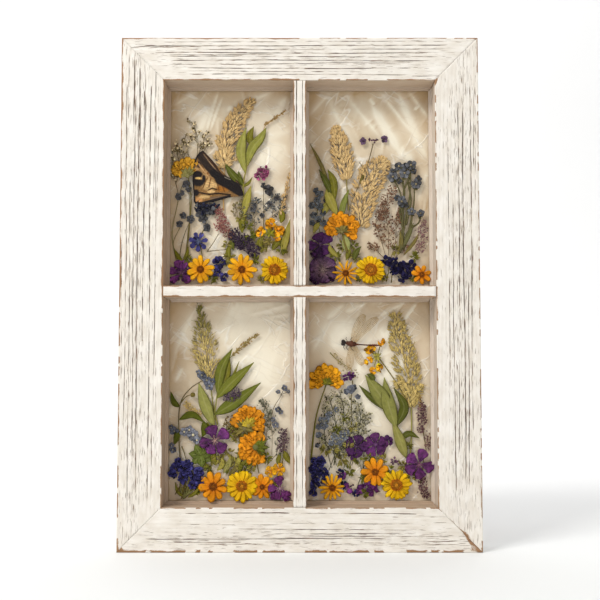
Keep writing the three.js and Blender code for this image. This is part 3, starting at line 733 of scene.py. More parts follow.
def sheet_surface(pane, seed):
    """A crumpled front on a grid, and a flat back fanned from its middle to the same edges."""
    low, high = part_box(f"sheet_{pane}")
    x = np.linspace(low.x / MM, high.x / MM, int((high.x - low.x) / MM / SHEET_STEP))
    z = np.linspace(low.z / MM, high.z / MM, int((high.z - low.z) / MM / SHEET_STEP))
    grid_x, grid_z = np.meshgrid(x, z)
    right, up = grid_x - PANES[pane][0], grid_z - PANES[pane][1]
    draw = np.random.default_rng(seed + 100)
    small = [draw.uniform(0, PANE_WIDE, CRUMPLES), draw.uniform(0, PANE_TALL, CRUMPLES)]
    small += [draw.normal(0, 9, CRUMPLES), draw.normal(0, 12, CRUMPLES)]
    small += [draw.uniform(0.15, 0.55, CRUMPLES), draw.uniform(0.7, 1.6, CRUMPLES)]
    small = np.stack(small, -1)
    small[:, 2:4] += small[:, 0:2] + 3.0
    ridges = crease_height(right, up, CREASES[pane])
    height = 0.55 * soft_hills(right, up, seed) + 0.8 * ridges
    height = height + crease_height(right, up, small)
    height = height - height.max()
    height = 1.35 * height / max(1e-6, -height.min())
    edge = np.minimum.reduce([grid_x - x[0], x[-1] - grid_x, grid_z - z[0], z[-1] - grid_z])
    height = height * np.clip(edge / 3.0, 0, 1)
    slope_up, slope_right = np.gradient(height, SHEET_STEP)
    # Painted light and shade: slopes that face up and to the left, ridge tops and raised parts are lighter,
    # and hollows darker.
    painted_light_by_slope = 0.58 + 1.5 * (slope_right - 0.6 * slope_up) + 0.3 * (height + 0.6) + ridges
    painted_highlight = 0
    for middle, level_up, wide, tall, most in PAINTED_HIGHLIGHTS[pane]:
        painted_highlight = painted_highlight + most * np.exp(-(((right - middle) / wide) ** 2) - ((up - level_up) / tall) ** 2)
    # Painted shadow of the frame's walls on the film: deepest along the left side and the top, lighter
    # along the right side and the foot.
    shade = 0.5 * np.exp(-np.maximum(right, 0) / 14) + 0.4 * np.exp(-np.maximum(PANE_TALL - up, 0) / 16)
    shade = shade + 0.2 * np.exp(-np.maximum(PANE_WIDE - right, 0) / 7)
    shade = shade + 0.2 * np.exp(-np.maximum(up, 0) / 12)
    film_painted_light = np.clip(painted_light_by_slope + painted_highlight - shade, 0, 1)[..., None]
    tint = FILM_SHADED + (FILM_LIT - FILM_SHADED) * film_painted_light
    front = np.stack([grid_x, SHEET_FRONT - height, grid_z], -1).reshape(-1, 3)
    index = np.arange(grid_x.size).reshape(grid_x.shape)
    faces = np.stack([index[:-1, :-1], index[:-1, 1:], index[1:, 1:], index[1:, :-1]], -1).reshape(-1, 4)
    rim = np.concatenate([index[0, :-1], index[:-1, -1], index[-1, :0:-1], index[:0:-1, 0]])
    rear = np.vstack([front[rim], front[rim].mean(0)])
    rear[:, 1] = SHEET_BACK
    behind = index.size + np.arange(len(rim))
    after, behind_after = np.roll(rim, -1), np.roll(behind, -1)
    walls = np.stack([rim, behind, behind_after, after], -1)
    fan = np.stack([np.full(len(rim), index.size + len(rim)), behind_after, behind], -1)
    place = np.stack([right, up], -1).reshape(-1, 2) * 0.01
    tint = np.vstack([tint.reshape(-1, 3), np.full((len(rear), 3), 0.6)])
    place = np.vstack([place, np.zeros((len(rear), 2))])
    return surface(np.vstack([front, rear]), np.concatenate([faces, walls]), fan, tint, place)


# %% Pearly film
def pearly_film():
    """The points' own tones, holding painted light and shade, under a clear coat, with a painted sheen and
    fine painted glints and crease shadows two ways across.
    """
    finish = Finish("pearly_film")
    place = finish.body()
    tint = finish.tint()
    cloud = finish.noise(place, 16.0, 3.0)
    sheen = finish.noise(place, 42.0, 5.0)
    shaded = finish.mix(0.3, tint, paint(208, 186, 150))
    colour = finish.mix(finish.ramp(cloud, 0.35, 0.65), shaded, tint)
    # Painted sheen: pale patches where the sheen noise is high.
    painted_sheen = finish.times(finish.ramp(sheen, 0.48, 0.64), 0.45)
    colour = finish.mix(painted_sheen, colour, paint(241, 231, 208))
    height = sheen
    for turn, scale in ((0.9, 15.0), (-0.5, 22.0)):
        turned = finish.add("Mapping", {"Vector": place, "Rotation": (0.0, turn, 0.0)}).outputs[0]
        wrinkle = finish.noise(turned, scale, 2.5, (1.0, 1.0, 3.6))
        # A painted glint along each wrinkle line, and a painted shadow line just beside it.
        painted_glint = finish.math("ABSOLUTE", finish.minus(wrinkle, 0.5))
        painted_glint = finish.minus(1.0, finish.ramp(painted_glint, 0.001, 0.02))
        painted_glint = finish.times(painted_glint, finish.ramp(sheen, 0.42, 0.56))
        painted_crease_shadow = finish.math("ABSOLUTE", finish.minus(wrinkle, 0.524))
        painted_crease_shadow = finish.minus(1.0, finish.ramp(painted_crease_shadow, 0.002, 0.02))
        colour = finish.mix(finish.times(painted_crease_shadow, 0.08), colour, paint(176, 148, 108))
        colour = finish.mix(finish.times(painted_glint, 0.42), colour, paint(255, 252, 244))
        height = finish.plus(height, finish.times(painted_glint, 0.5))
    finish.set(Base_Color=colour, Roughness=0.36, Metallic=0.05, Coat_Weight=1.0, Coat_Roughness=0.06)
    finish.bump(height, 0.0012, 0.5)
    return finish.material


film = pearly_film()
for number, pane in enumerate(PANES):
    piece(f"film_{pane}", sheet_surface(pane, 60 + number), film, (f"sheet_{pane}",))

# %% [markdown]
# ## Petals, leaves, stems and husks
# Nearly everything that is pressed here is a thin blade: a petal, a leaf, a stem or the husk
# of a grain. So one function makes many blades at once from their middle lines and widths.
# Places are given in a pane's own millimetres: right and up from the lower left corner of
# its opening, and forward from the film. Plants lie on shelves, the higher ones in front.

# %% Lines and outlines
def route(points, steps):
    """A smooth line through a few points: each stretch is a cubic that leaves and enters
    along the line between its neighbours."""
    p = np.array(points, float)
    p = np.vstack([2 * p[0] - p[1], p, 2 * p[-1] - p[-2]])
    at = np.linspace(0, len(points) - 1, steps)
    i = np.minimum(at.astype(int), len(points) - 2)
    t = (at - i)[:, None]
    a, b, c, d = p[i], p[i + 1], p[i + 2], p[i + 3]
    square, cube = 2 * a - 5 * b + 4 * c - d, 3 * b - a - 3 * c + d
    return 0.5 * (2 * b + (c - a) * t + square * t**2 + cube * t**3)


def shares(steps):
    return np.linspace(0, 1, steps)


def between(start, stop, steps):
    """Straight lines between pairs of points."""
    s = shares(steps)[:, None]
    return start[:, None] * (1 - s) + stop[:, None] * s


def outward(right, up, far, angle, forward):
    """Lines that run out from a place, given how far along and in what direction each goes."""
    return np.stack([right + far * np.cos(angle), up + far * np.sin(angle), forward], -1)


def rounded_end(s, start, most=0.9, power=2):
    """A petal's end: its width falls off as part of an oval, past a share of its length."""
    return np.sqrt(1 - most * np.clip((s - start) / (1 - start), 0, 1) ** power)


def strap(s):
    """Narrow at the root, even for most of its length, rounded at the tip."""
    return (0.5 + 0.5 * np.sin(np.pi / 2 * np.minimum(s / 0.6, 1))) * rounded_end(s, 0.7)


def broad(s):
    """A narrow claw that opens into a round petal."""
    return (0.16 + 0.84 * np.sin(np.pi / 2 * np.minimum(s / 0.6, 1)) ** 1.3) * rounded_end(s, 0.55)


def wedge(s):
    """A narrow root that widens evenly to a blunt, rounded end."""
    return (0.1 + 0.9 * np.minimum(s / 0.72, 1) ** 1.15) * rounded_end(s, 0.66, 0.92, 2.4)


def lance(s):
    """Pointed at both ends and widest a little before the middle."""
    return np.sin(np.pi * np.clip(s, 0.015, 0.985) ** 0.82)


def stalk(s):
    return 1 - 0.45 * s


def level(layer):
    """How far forward of the film a shelf lies."""
    return 0.35 + 0.8 * layer


# %% Many blades at once
def shell_faces(count, rings, ring):
    """Four-sided faces of many tubes, each closed round, and the fans that close their ends."""
    c, i, j = np.meshgrid(np.arange(count), np.arange(rings - 1), np.arange(ring), indexing="ij")
    k, base = (j + 1) % ring, c * rings * ring
    here, ahead = base + i * ring, base + (i + 1) * ring
    quads = np.stack([here + j, ahead + j, ahead + k, here + k], -1)
    c, j = np.meshgrid(np.arange(count), np.arange(ring), indexing="ij")
    k, base, last = (j + 1) % ring, c * rings * ring, (c + 1) * rings * ring - ring
    start = np.stack([count * rings * ring + c, base + j, base + k], -1)
    stop = np.stack([count * (rings * ring + 1) + c, last + k, last + j], -1)
    return quads.reshape(-1, 4), np.concatenate([start.reshape(-1, 3), stop.reshape(-1, 3)])


def blades(lines, half, root, tip=None, thick=0.3, across=5, cup=0.0, fold=0.0, roll=0.0,
           ripple=0.0, waves=2.5, edge=1.0, rib=1.0, vary=0.12, grain=0.07, end=0.12, seed=0):
    """Many thin tapering shapes, with lines as (count, steps, 3).

    A point is on the middle line, plus its share across times the half width sideways. It is
    raised by cup times the share squared, by fold times the share, and by a ripple that grows
    to the edge. The back repeats the front, one thickness behind. Colour runs from root to
    tip, times edge at the sides and rib along the middle, and each blade differs a little.
    """
    draw = np.random.default_rng(seed)
    lines = np.asarray(lines, float)
    count, steps = lines.shape[:2]
    s = shares(steps)
    half = np.broadcast_to(np.asarray(half, float), (count, steps))[..., None]
    t = unit(np.gradient(lines, axis=1), 1e-9)
    flat = unit(np.stack([-t[..., 1], t[..., 0], 0 * t[..., 0]], -1), 1e-9)
    turn = np.broadcast_to(np.asarray(roll, float), (count,))[:, None, None]
    side = flat * np.cos(turn) + np.cross(t, flat) * np.sin(turn)
    normal = np.cross(t, side)
    front = np.linspace(-1, 1, across)
    a = np.concatenate([front, front[-2:0:-1]])
    sign = np.concatenate([[0.0], np.ones(across - 2), [0.0], -np.ones(across - 2)])
    wave = np.sin(2 * np.pi * waves * s[None, :, None] + draw.uniform(0, TURN, (count, 1, 1)) + 2 * a)
    bent = [np.reshape(np.asarray(v, float), (-1, 1, 1)) for v in (cup, fold, ripple)]
    lift = bent[0] * a**2 + bent[1] * np.abs(a) + bent[2] * a**2 * wave
    depth = half * lift + 0.5 * thick * sign
    points = lines[:, :, None] + side[:, :, None] * (half * a)[..., None]
    points = points + normal[:, :, None] * depth[..., None]
    ends = np.concatenate([lines[:, 0], lines[:, -1] + (lines[:, -1] - lines[:, -2]) * end])

    root = np.broadcast_to(np.asarray(root, float), (count, 3))[:, None, None]
    tip = root if tip is None else np.broadcast_to(np.asarray(tip, float), (count, 3))[:, None, None]
    along = s[None, :, None, None]
    shade = 1 + (edge - 1) * a**2 + (rib - 1) * (1 - np.abs(a)) ** 3
    each = 1 + vary * draw.normal(size=(count, 1, 1)) + grain * draw.normal(size=(count, steps, len(a)))
    tint = np.clip((root * (1 - along) + tip * along) * (shade * each)[..., None], 0, 1)
    run = np.cumsum(np.linalg.norm(np.diff(lines, axis=1, prepend=lines[:, :1]), axis=-1), axis=1)
    place = np.stack(np.broadcast_arrays(a, 0.1 * run[..., None]), -1)

    quads, fans = shell_faces(count, steps, len(a))
    middle = across // 2
    tint, place = (
        np.concatenate([v.reshape(-1, v.shape[-1]), v[:, 0, middle], v[:, -1, middle]])
        for v in (tint, place)
    )
    return surface(np.concatenate([points.reshape(-1, 3), ends]), quads, fans, tint, place)


# %% Buds and florets as small balls
def balls(centres, radii, colour, sides=6, bands=3, squash=1.0, vary=0.12, seed=0):
    """Many small closed balls: rings of points at even angles from the front to the back."""
    draw = np.random.default_rng(seed)
    centres = np.asarray(centres, float).reshape(-1, 3)
    count = len(centres)
    radii = np.broadcast_to(np.asarray(radii, float), (count,))
    tilt = np.linspace(0, np.pi, bands + 2)[1:-1][:, None]
    spin = np.arange(sides) * 2 * np.pi / sides
    ball = [np.sin(tilt) * np.cos(spin), np.sin(tilt) * np.sin(spin), squash * np.cos(tilt)]
    ball = np.stack(np.broadcast_arrays(*ball), -1)
    points = centres[:, None, None] + radii[:, None, None, None] * ball
    pole = np.array([0, 0, squash]) * radii[:, None]
    quads, fans = shell_faces(count, bands, sides)
    colour = np.broadcast_to(np.asarray(colour, float), (count, 3))
    colour = np.clip(colour * (1 + vary * draw.normal(size=(count, 1))), 0, 1)
    tint = np.concatenate([np.repeat(colour, bands * sides, axis=0), colour, colour])
    points = np.concatenate([points.reshape(-1, 3), centres + pole, centres - pole])
    return surface(points, quads, fans, tint)


def sunflower_spots(count, radius):
    """Places spread evenly over a disc: each is turned by the golden angle from the last."""
    golden = 2.39996
    i = np.arange(count) + 0.5
    far, angle = radius * np.sqrt(i / count), i * golden
    return np.stack([far * np.cos(angle), far * np.sin(angle)], -1)


# %% [markdown]
# ## Finishes for dried plants
# A dried petal keeps its colour but loses its gloss. It is mottled, and its veins show as
# fine lines from root to tip. A leaf has a pale middle rib with side veins that slant towards
# the tip. Grain husks are straw with a dry sheen. Each point's own colour comes first and the
# finish only varies it, so one finish can serve flowers of several shades.

# %% Dried petals, leaves and straw
def dried(name, veins, vein_share, mottle, slant=0.0, rib=0.0, roughness=0.62, sheen=0.0, pale=0.14):
    """The points' own colour, with veins as waves across it, dark clouds and pale specks."""
    finish = Finish(name)
    tint = finish.tint()
    place = finish.add("SeparateXYZ", {"Vector": finish.place()})
    body = finish.body()
    across, along = place.outputs[0], place.outputs[1]
    off = finish.math("ABSOLUTE", across)
    slid = finish.minus(finish.times(along, slant), finish.times(off, veins))
    lines = finish.math("SINE", slid)
    vein = finish.ramp(lines, 0.55, 0.95)
    cloud = finish.noise(body, 420.0, 3.0)
    speck = finish.noise(body, 1500.0, 2.0)
    dark = finish.mix(0.55, tint, (0.02, 0.012, 0.008))
    light = finish.mix(pale, tint, (1.0, 0.88, 0.56))
    colour = finish.mix(finish.times(finish.ramp(cloud, 0.45, 0.75), mottle), tint, dark)
    colour = finish.mix(finish.times(finish.ramp(speck, 0.55, 0.8), mottle), colour, light)
    colour = finish.mix(finish.times(vein, vein_share), colour, dark if slant == 0.0 else light)
    if rib:
        spine = finish.minus(1.0, finish.ramp(off, 0.04, 0.16))
        colour = finish.mix(finish.times(spine, rib), colour, light)
    height = finish.plus(finish.times(vein, 0.6), finish.times(speck, 0.7))
    finish.set(Base_Color=colour, Roughness=roughness, Specular_IOR_Level=0.16, Sheen_Weight=sheen)
    finish.bump(height, 0.00025, 0.7)
    return finish.material


# For each finish: how many veins, how strong they are, and how mottled the surface is.
FINISH_LOOKS = {
    "golden_petal": (8.0, 0.3, 0.35, {}),
    "yellow_petal": (8.0, 0.2, 0.25, {}),
    "orange_petal": (6.0, 0.25, 0.36, {}),
    "purple_petal": (16.0, 0.6, 0.9, dict(pale=0.06)),
    "indigo_petal": (12.0, 0.5, 0.8, dict(pale=0.06)),
    "blue_floret": (9.0, 0.2, 0.4, {}),
    "dark_floret": (8.0, 0.3, 0.5, dict(roughness=0.8)),
    "leaf": (5.0, 0.5, 0.5, dict(slant=55.0, rib=0.8, roughness=0.55, pale=0.1)),
    "straw": (7.0, 0.4, 0.3, dict(roughness=0.55, sheen=0.15)),
    "butterfly_wing": (0.0, 0.0, 0.45, dict(roughness=0.75, pale=0.06)),
    "dragonfly": (0.0, 0.0, 0.35, dict(roughness=0.4)),
}
FINISHES = {name: dried(name, *look, **extra) for name, (*look, extra) in FINISH_LOOKS.items()}
print("plant finishes:", len(FINISHES))

# %% Gluing a plant into its pane
seeds = iter(range(1000, 4000))
# Dried plants have lost some of their blue and green with age.
YELLOWED = np.array([1.06, 0.96, 0.78])


def flat(parts):
    """All the surfaces in a nest of lists, in their order."""
    return [parts] if isinstance(parts, dict) else [one for part in parts for one in flat(part)]


def in_pane(pane, parts):
    """Joins surfaces and moves them from the pane's own millimetres to the frame's."""
    part = joined(flat(parts))
    right, up, forward = part["points"].T
    low_x, low_z = PANES[pane]
    part["points"] = np.stack([low_x + right, SHEET_FRONT - forward, low_z + up], -1)
    return part


def glue(pane, name, slot, parts):
    """Makes one piece of a plant's surfaces, in its pane and a little yellowed. It stands for
    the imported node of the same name, if there is one."""
    part = in_pane(pane, parts)
    part["tint"] = part["tint"] * YELLOWED
    kind = "green" if slot == "leaf" else "pressed"
    node = f"{pane}_{name}"
    piece(f"{node}_{kind}", part, FINISHES[slot], (node,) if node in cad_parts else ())


GREEN = paint(114, 115, 16)
DEEP_GREEN = paint(80, 90, 10)
PALE_GREEN = paint(156, 153, 70)
OLIVE = paint(112, 104, 50)
TWIG = paint(120, 110, 86)
STRAW = paint(240, 214, 164)
HUSK = paint(204, 170, 116)


# %% [markdown]
# ## Stems and leaves
# A stem is a narrow blade along a smooth line. A leaf is a broad one, a little folded along
# its rib, that lifts from the film in the middle.

# %% Stems and leaves
def stem(points, layer, width, colour=GREEN, steps=14):
    line = route(points, steps)
    forward = level(layer) + 0.3 + 0.12 * np.sin(np.linspace(0, 7, steps) + line[0, 0])
    lines = np.column_stack([line, forward])[None]
    look = dict(thick=width * 0.7, across=3, seed=next(seeds))
    return blades(lines, width / 2 * stalk(shares(steps)), colour, **look)


def leaf(points, width, layer, colour=GREEN, lift=0.5):
    line = route(points, 16)
    s = shares(16)
    forward = level(layer) + 0.25 + lift * np.sin(np.pi * s) ** 1.2
    lines = np.column_stack([line, forward])[None]
    half = width / 2 * lance(s) + 0.12
    look = dict(thick=0.28, across=7, fold=0.16, ripple=0.06, edge=0.86, vary=0.05)
    return blades(lines, half, colour, seed=next(seeds), **look)


# %% [markdown]
# ## Daisies
# A pressed daisy lies face up: one or two rows of strap-shaped petals, and a disc of florets
# in the spiral that every daisy grows in. The petals lie slightly over each other.

# %% Daisies
def daisy(at, radius, petals, disc, layer, root, tip, outer, inner, width=1.0, rows=2):
    """Petal lines run from under the disc to the radius, a little bent and raised midway."""
    seed = next(seeds)
    draw = np.random.default_rng(seed)
    s = shares(8)
    parts = []
    for row in range(rows):
        count = np.arange(petals)
        angle = 2 * np.pi * (count + 0.5 * row) / petals
        angle = angle + draw.normal(0, 0.25 / petals, petals) + 0.3 * seed
        reach = radius * draw.uniform(0.86, 1.0, petals) * (0.94 if row else 1.0)
        far = 0.6 * disc + (reach - 0.6 * disc)[:, None] * s
        theta = angle[:, None] + draw.normal(0, 0.08, petals)[:, None] * s**2
        rise = 0.45 - 0.4 * row + 0.16 * (count % 2)
        arch = draw.uniform(0.1, 0.6, petals)[:, None] * np.sin(np.pi * s)
        forward = level(layer) + rise[:, None] + arch - 0.2 * s
        lines = outward(*at, far, theta, forward)
        half = width * np.pi * 0.62 * radius / petals * draw.uniform(0.82, 1.1, petals)[:, None] * strap(s)
        look = dict(thick=0.25, fold=draw.uniform(-0.1, 0.22, petals), ripple=0.06, rib=0.82, edge=0.9)
        shade = 0.82 if row else 1.0
        roll = draw.normal(0, 0.16, petals)
        parts.append(
            blades(lines, half, root * shade, tip * shade, roll=roll, end=-0.35, seed=seed + row, **look)
        )
    count = int(26 + 9 * disc**1.15)
    spots = sunflower_spots(count, disc)
    far = np.linalg.norm(spots, axis=1) / disc
    centres = np.column_stack([spots + at, level(layer) + 1.0 + 0.6 * (1 - far**2)])
    ring = np.exp(-(((far - 0.42) / 0.2) ** 2))[:, None]
    colour = inner * (1 - 0.5 * ring) + (outer - inner) * np.clip(far * 1.25, 0, 1)[:, None] ** 2.5
    parts.append(balls(centres, 0.95 * disc / np.sqrt(count), colour, squash=0.9, vary=0.2, seed=seed + 7))
    parts.append(balls([[*at, level(layer) + 0.45]], disc * 0.98, outer * 0.5, 16, 4, 0.25, seed=seed))
    return parts


# Each kind's colours at a petal's root and tip, and at its disc's outside and middle.
GOLD = dict(root=paint(232, 150, 10), tip=paint(251, 198, 26), rows=1)
GOLD.update(outer=paint(126, 70, 20), inner=paint(190, 116, 32))
YELLOW = dict(root=paint(230, 176, 10), tip=paint(250, 214, 20))
YELLOW.update(outer=paint(186, 112, 24), inner=paint(236, 172, 48))
ORANGE = dict(root=paint(226, 130, 8), tip=paint(247, 174, 22), rows=1)
ORANGE.update(outer=paint(140, 80, 24), inner=paint(196, 122, 38))


# %% [markdown]
# ## Round-petalled flowers
# Geraniums and violets have about five broad purple petals, veined and paler at the throat,
# with a few stamens. Pressing crinkles their edges, so the ripple here is stronger.

# %% Five-petalled flowers
PURPLE = paint(80, 36, 104)
VIOLET = paint(110, 54, 128)
PLUM = paint(62, 34, 84)


def round_flower(at, radius, layer, root, tip, turns=None, petals=5, width=0.52, throat=None, ripple=0.5):
    """Petals like broad fans round a point. Turns gives their directions if they aren't even."""
    seed = next(seeds)
    draw = np.random.default_rng(seed)
    s = shares(9)
    if turns is None:
        angles = 2 * np.pi * np.arange(petals) / petals + 0.31 * seed
    else:
        angles = 2 * np.pi * np.array(turns)
    angles = angles + draw.normal(0, 0.05, len(angles))
    count = len(angles)
    far = 0.06 * radius + radius * draw.uniform(0.86, 0.98, count)[:, None] * s * 0.94
    theta = angles[:, None] + draw.normal(0, 0.1, count)[:, None] * s**2
    forward = level(layer) + 0.3 + 0.28 * (np.arange(count) % 3)[:, None] + 0.35 * np.sin(np.pi * s)
    lines = outward(*at, far, theta, forward)
    half = width * radius * draw.uniform(0.82, 1.08, count)[:, None] * wedge(s)
    look = dict(thick=0.22, across=9, cup=0.05, ripple=ripple, waves=3.2, edge=1.15, rib=0.7)
    look.update(vary=0.2, grain=0.28, end=-0.5)
    parts = [blades(lines, half, root, tip, roll=draw.normal(0, 0.12, count), seed=seed, **look)]
    pale = root * 1.8 + 0.08 if throat is None else throat
    angle = np.concatenate([angles - 0.2, angles, angles + 0.2, draw.uniform(0, TURN, 4)])
    reach = radius * draw.uniform(0.16, 0.5 if throat is not None else 0.26, len(angle))
    tips = np.stack([np.cos(angle), np.sin(angle)], -1) * reach[:, None]
    start = np.tile([*at, level(layer) + 0.9], (len(angle), 1))
    stop = np.column_stack([tips + at, np.full(len(angle), level(layer) + 1.5)])
    look = dict(thick=0.2, across=3, seed=seed + 1)
    parts.append(blades(between(start, stop, 4), 0.34 * (1.1 - shares(4)) + 0.05, pale, root * 1.3, **look))
    anthers = stop[-6:] * [0.6, 0.6, 1] + np.array([*at, 0]) * [0.4, 0.4, 0]
    parts.append(balls(anthers, 0.34, pale, bands=2, seed=seed + 2))
    return parts


# %% [markdown]
# ## Marigolds from the side
# These were pressed sideways, so each is a fan of crowded, frilled petals over a green cup.
# Three rows of petals, shorter towards the front, give the depth that such a fan has.

# %% Marigold fans
MARIGOLD = paint(240, 164, 28)
MARIGOLD_ROOT = paint(200, 118, 14)


def frilled_fan(at, radius, start, stop, layer, root=MARIGOLD_ROOT, tip=MARIGOLD):
    """Rows of wedge petals between two directions, in half turns. Each row is shorter and
    lies in front of the last, and every petal ripples towards its edge."""
    seed = next(seeds)
    draw = np.random.default_rng(seed)
    s = shares(8)
    parts = []
    for row in range(3):
        count = int((5 + 9 * (stop - start)) * (1 - 0.12 * row))
        angle = np.pi * np.linspace(start + 0.05, stop - 0.05, count) + draw.normal(0, 0.07, count)
        reach = radius * (1 - 0.24 * row) * draw.uniform(0.82, 1.0, count)
        begin = radius * (0.09 - 0.02 * row)
        far = begin + (reach - begin)[:, None] * s
        theta = angle[:, None] + draw.normal(0, 0.1, count)[:, None] * s**2
        high = level(layer) + 0.25 + 0.36 * row + 0.25 * draw.uniform(0, 1, count)
        forward = high[:, None] + 0.4 * np.sin(np.pi * s) * draw.uniform(0.4, 1.2, (count, 1))
        lines = outward(*at, far, theta, forward)
        half = radius * 0.21 * draw.uniform(0.8, 1.15, count)[:, None] * wedge(s)
        shade = 1 + 0.12 * draw.normal(size=(count, 1))
        look = dict(thick=0.24, across=7, ripple=0.4, waves=1.7, rib=0.84, edge=0.94, vary=0.04)
        look.update(grain=0.06, end=-0.5, roll=draw.normal(0, 0.2, count), seed=seed + row)
        parts.append(blades(lines, half, root * shade * 0.8, tip * shade, **look))
    return parts


def green_cup(at, radius, start, stop, layer, colour=GREEN):
    """Sepals: short leaves fanned from a point, over a low green knob."""
    seed = next(seeds)
    draw = np.random.default_rng(seed)
    s = shares(6)
    count = 15
    angle = np.pi * np.linspace(start, stop, count) + draw.normal(0, 0.12, count)
    far = radius * draw.uniform(0.5, 1.0, count)[:, None] * s
    forward = level(layer) + 1.1 + 0.3 * (np.arange(count) % 3)[:, None] + 0.3 * np.sin(np.pi * s)
    lines = outward(*at, far, angle[:, None], forward)
    half = radius * 0.13 * lance(s) + 0.1
    parts = [blades(lines, half, colour, colour * 1.25, thick=0.26, fold=0.2, vary=0.25, seed=seed)]
    parts.append(balls([[*at, level(layer) + 1.0]], radius * 0.26, colour * 0.85, 10, 4, 0.6, seed=seed))
    return parts


# %% [markdown]
# ## Crumpled clusters and tiny florets
# Larkspur dries into a crumpled knot of indigo petals, statice and lavender into dark specks.
# Forget-me-nots keep five tiny petals round an eye. All three are many blades round many
# points, and only their numbers, sizes and turns differ.

# %% Clusters of petals
INDIGO = paint(30, 29, 80)
ROYAL = paint(66, 68, 146)
SKY = paint(110, 126, 164)
SLATE = paint(84, 90, 108)


def knots(spots, layer, root, tip, petals=9, width=0.34, tilt=0.7, ripple=0.3, tall=0.9, shape=broad):
    """For each (right, up, radius), petals in all directions, turned and raised at random."""
    seed = next(seeds)
    draw = np.random.default_rng(seed)
    spots = np.repeat(np.asarray(spots, float), petals, axis=0)
    count = len(spots)
    s = shares(6)
    angle = draw.uniform(0, 2 * np.pi, count)[:, None] + draw.normal(0, 0.3, count)[:, None] * s
    away = spots[:, 2:] * draw.uniform(0, 0.35, (count, 1))
    reach = spots[:, 2:] * draw.uniform(0.55, 0.98, (count, 1)) - away
    far = away + reach * s
    forward = level(layer) + 0.2 + draw.uniform(0, tall, (count, 1))
    forward = forward + draw.uniform(-0.2, 0.5, (count, 1)) * s
    lines = outward(spots[:, :1], spots[:, 1:2], far, angle, forward)
    half = width * spots[:, 2:] * draw.uniform(0.7, 1.15, (count, 1)) * shape(s)
    look = dict(thick=0.2, ripple=ripple, cup=0.1, waves=1.5, edge=1.25, vary=0.3, grain=0.2)
    return blades(lines, half, root, tip, seed=seed, roll=draw.normal(0, tilt, count), **look)


def undergrowth(pane, spots):
    """Tufts of small pointed leaves in two greens, which fill the gaps between flowers."""
    spots = np.array(spots) * (1, 1, 1.25)
    look = dict(petals=15, shape=lance, width=0.16, tilt=0.5, ripple=0.1, tall=1.0)
    dark = knots(spots[::2], 0.7, DEEP_GREEN * 0.8, GREEN, **look)
    light = knots(spots[1::2], 0.7, OLIVE * 0.8, PALE_GREEN * 0.8, **look)
    glue(pane, "undergrowth", "leaf", [dark, light])


def florets(spots, layer, colour, eye):
    """Tiny flowers, one for each (right, up, radius): round petals and a small pale eye."""
    colour, eye = (c + 0.3 * (np.mean(c) - c) for c in (colour, eye))
    seed = next(seeds)
    draw = np.random.default_rng(seed)
    spots = np.asarray(spots, float).reshape(-1, 3)
    petals = 5
    many = np.repeat(spots, petals, axis=0)
    count = len(many)
    s = shares(5)
    turn = np.repeat(draw.uniform(0, TURN, len(spots)), petals)
    angle = turn + np.tile(np.arange(petals) * 2 * np.pi / petals, len(spots))
    angle = (angle + draw.normal(0, 0.15, count))[:, None]
    far = many[:, 2:] * draw.uniform(0.75, 1.0, (count, 1)) * (0.08 + 0.9 * s)
    raised = np.repeat(draw.uniform(0, 0.6, len(spots)), petals)[:, None]
    forward = level(layer) + 0.3 + raised + draw.uniform(0, 0.5, (count, 1)) * s
    lines = outward(many[:, :1], many[:, 1:2], far, angle, forward)
    half = 0.42 * many[:, 2:] * broad(s)
    look = dict(thick=0.2, ripple=0.3, cup=0.15, edge=1.1, vary=0.28, grain=0.16, seed=seed)
    parts = [blades(lines, half, colour * 0.6, colour, **look)]
    centres = np.column_stack([spots[:, :2], level(layer) + 0.75 + raised[::petals, 0]])
    parts.append(balls(centres, 0.2 * spots[:, 2], eye, squash=0.7, seed=seed))
    return parts


def specks(spots, layer, colour, light, each, size=0.85):
    """Dense heads of dark specks: small balls and pointed husks spread over each disc."""
    seed = next(seeds)
    draw = np.random.default_rng(seed)
    places = [sunflower_spots(int(each * (r / 5) ** 1.3) + 5, r * 0.92) + (x, y) for x, y, r in spots]
    places = np.concatenate(places)
    places = places + draw.normal(0, 0.5, places.shape)
    count = len(places)
    centres = np.column_stack([places, level(layer) + draw.uniform(0.2, 1.3, count)])
    mixed = colour + (light - colour) * draw.uniform(0, 1, (count, 1)) ** 2
    parts = [balls(centres, size * draw.uniform(0.4, 0.9, count), mixed, sides=5, bands=2, seed=seed)]
    s = shares(4)
    angle = draw.uniform(0, TURN, (2 * count, 1))
    start = np.repeat(centres, 2, axis=0)
    length = size * draw.uniform(0.9, 2.0, (2 * count, 1))
    lines = outward(start[:, :1], start[:, 1:2], length * s, angle, start[:, 2:] + 0.5 * s)
    look = dict(thick=0.2, across=3, seed=seed)
    parts.append(blades(lines, size * 0.34 * lance(s), np.repeat(mixed, 2, 0), light, **look))
    return parts
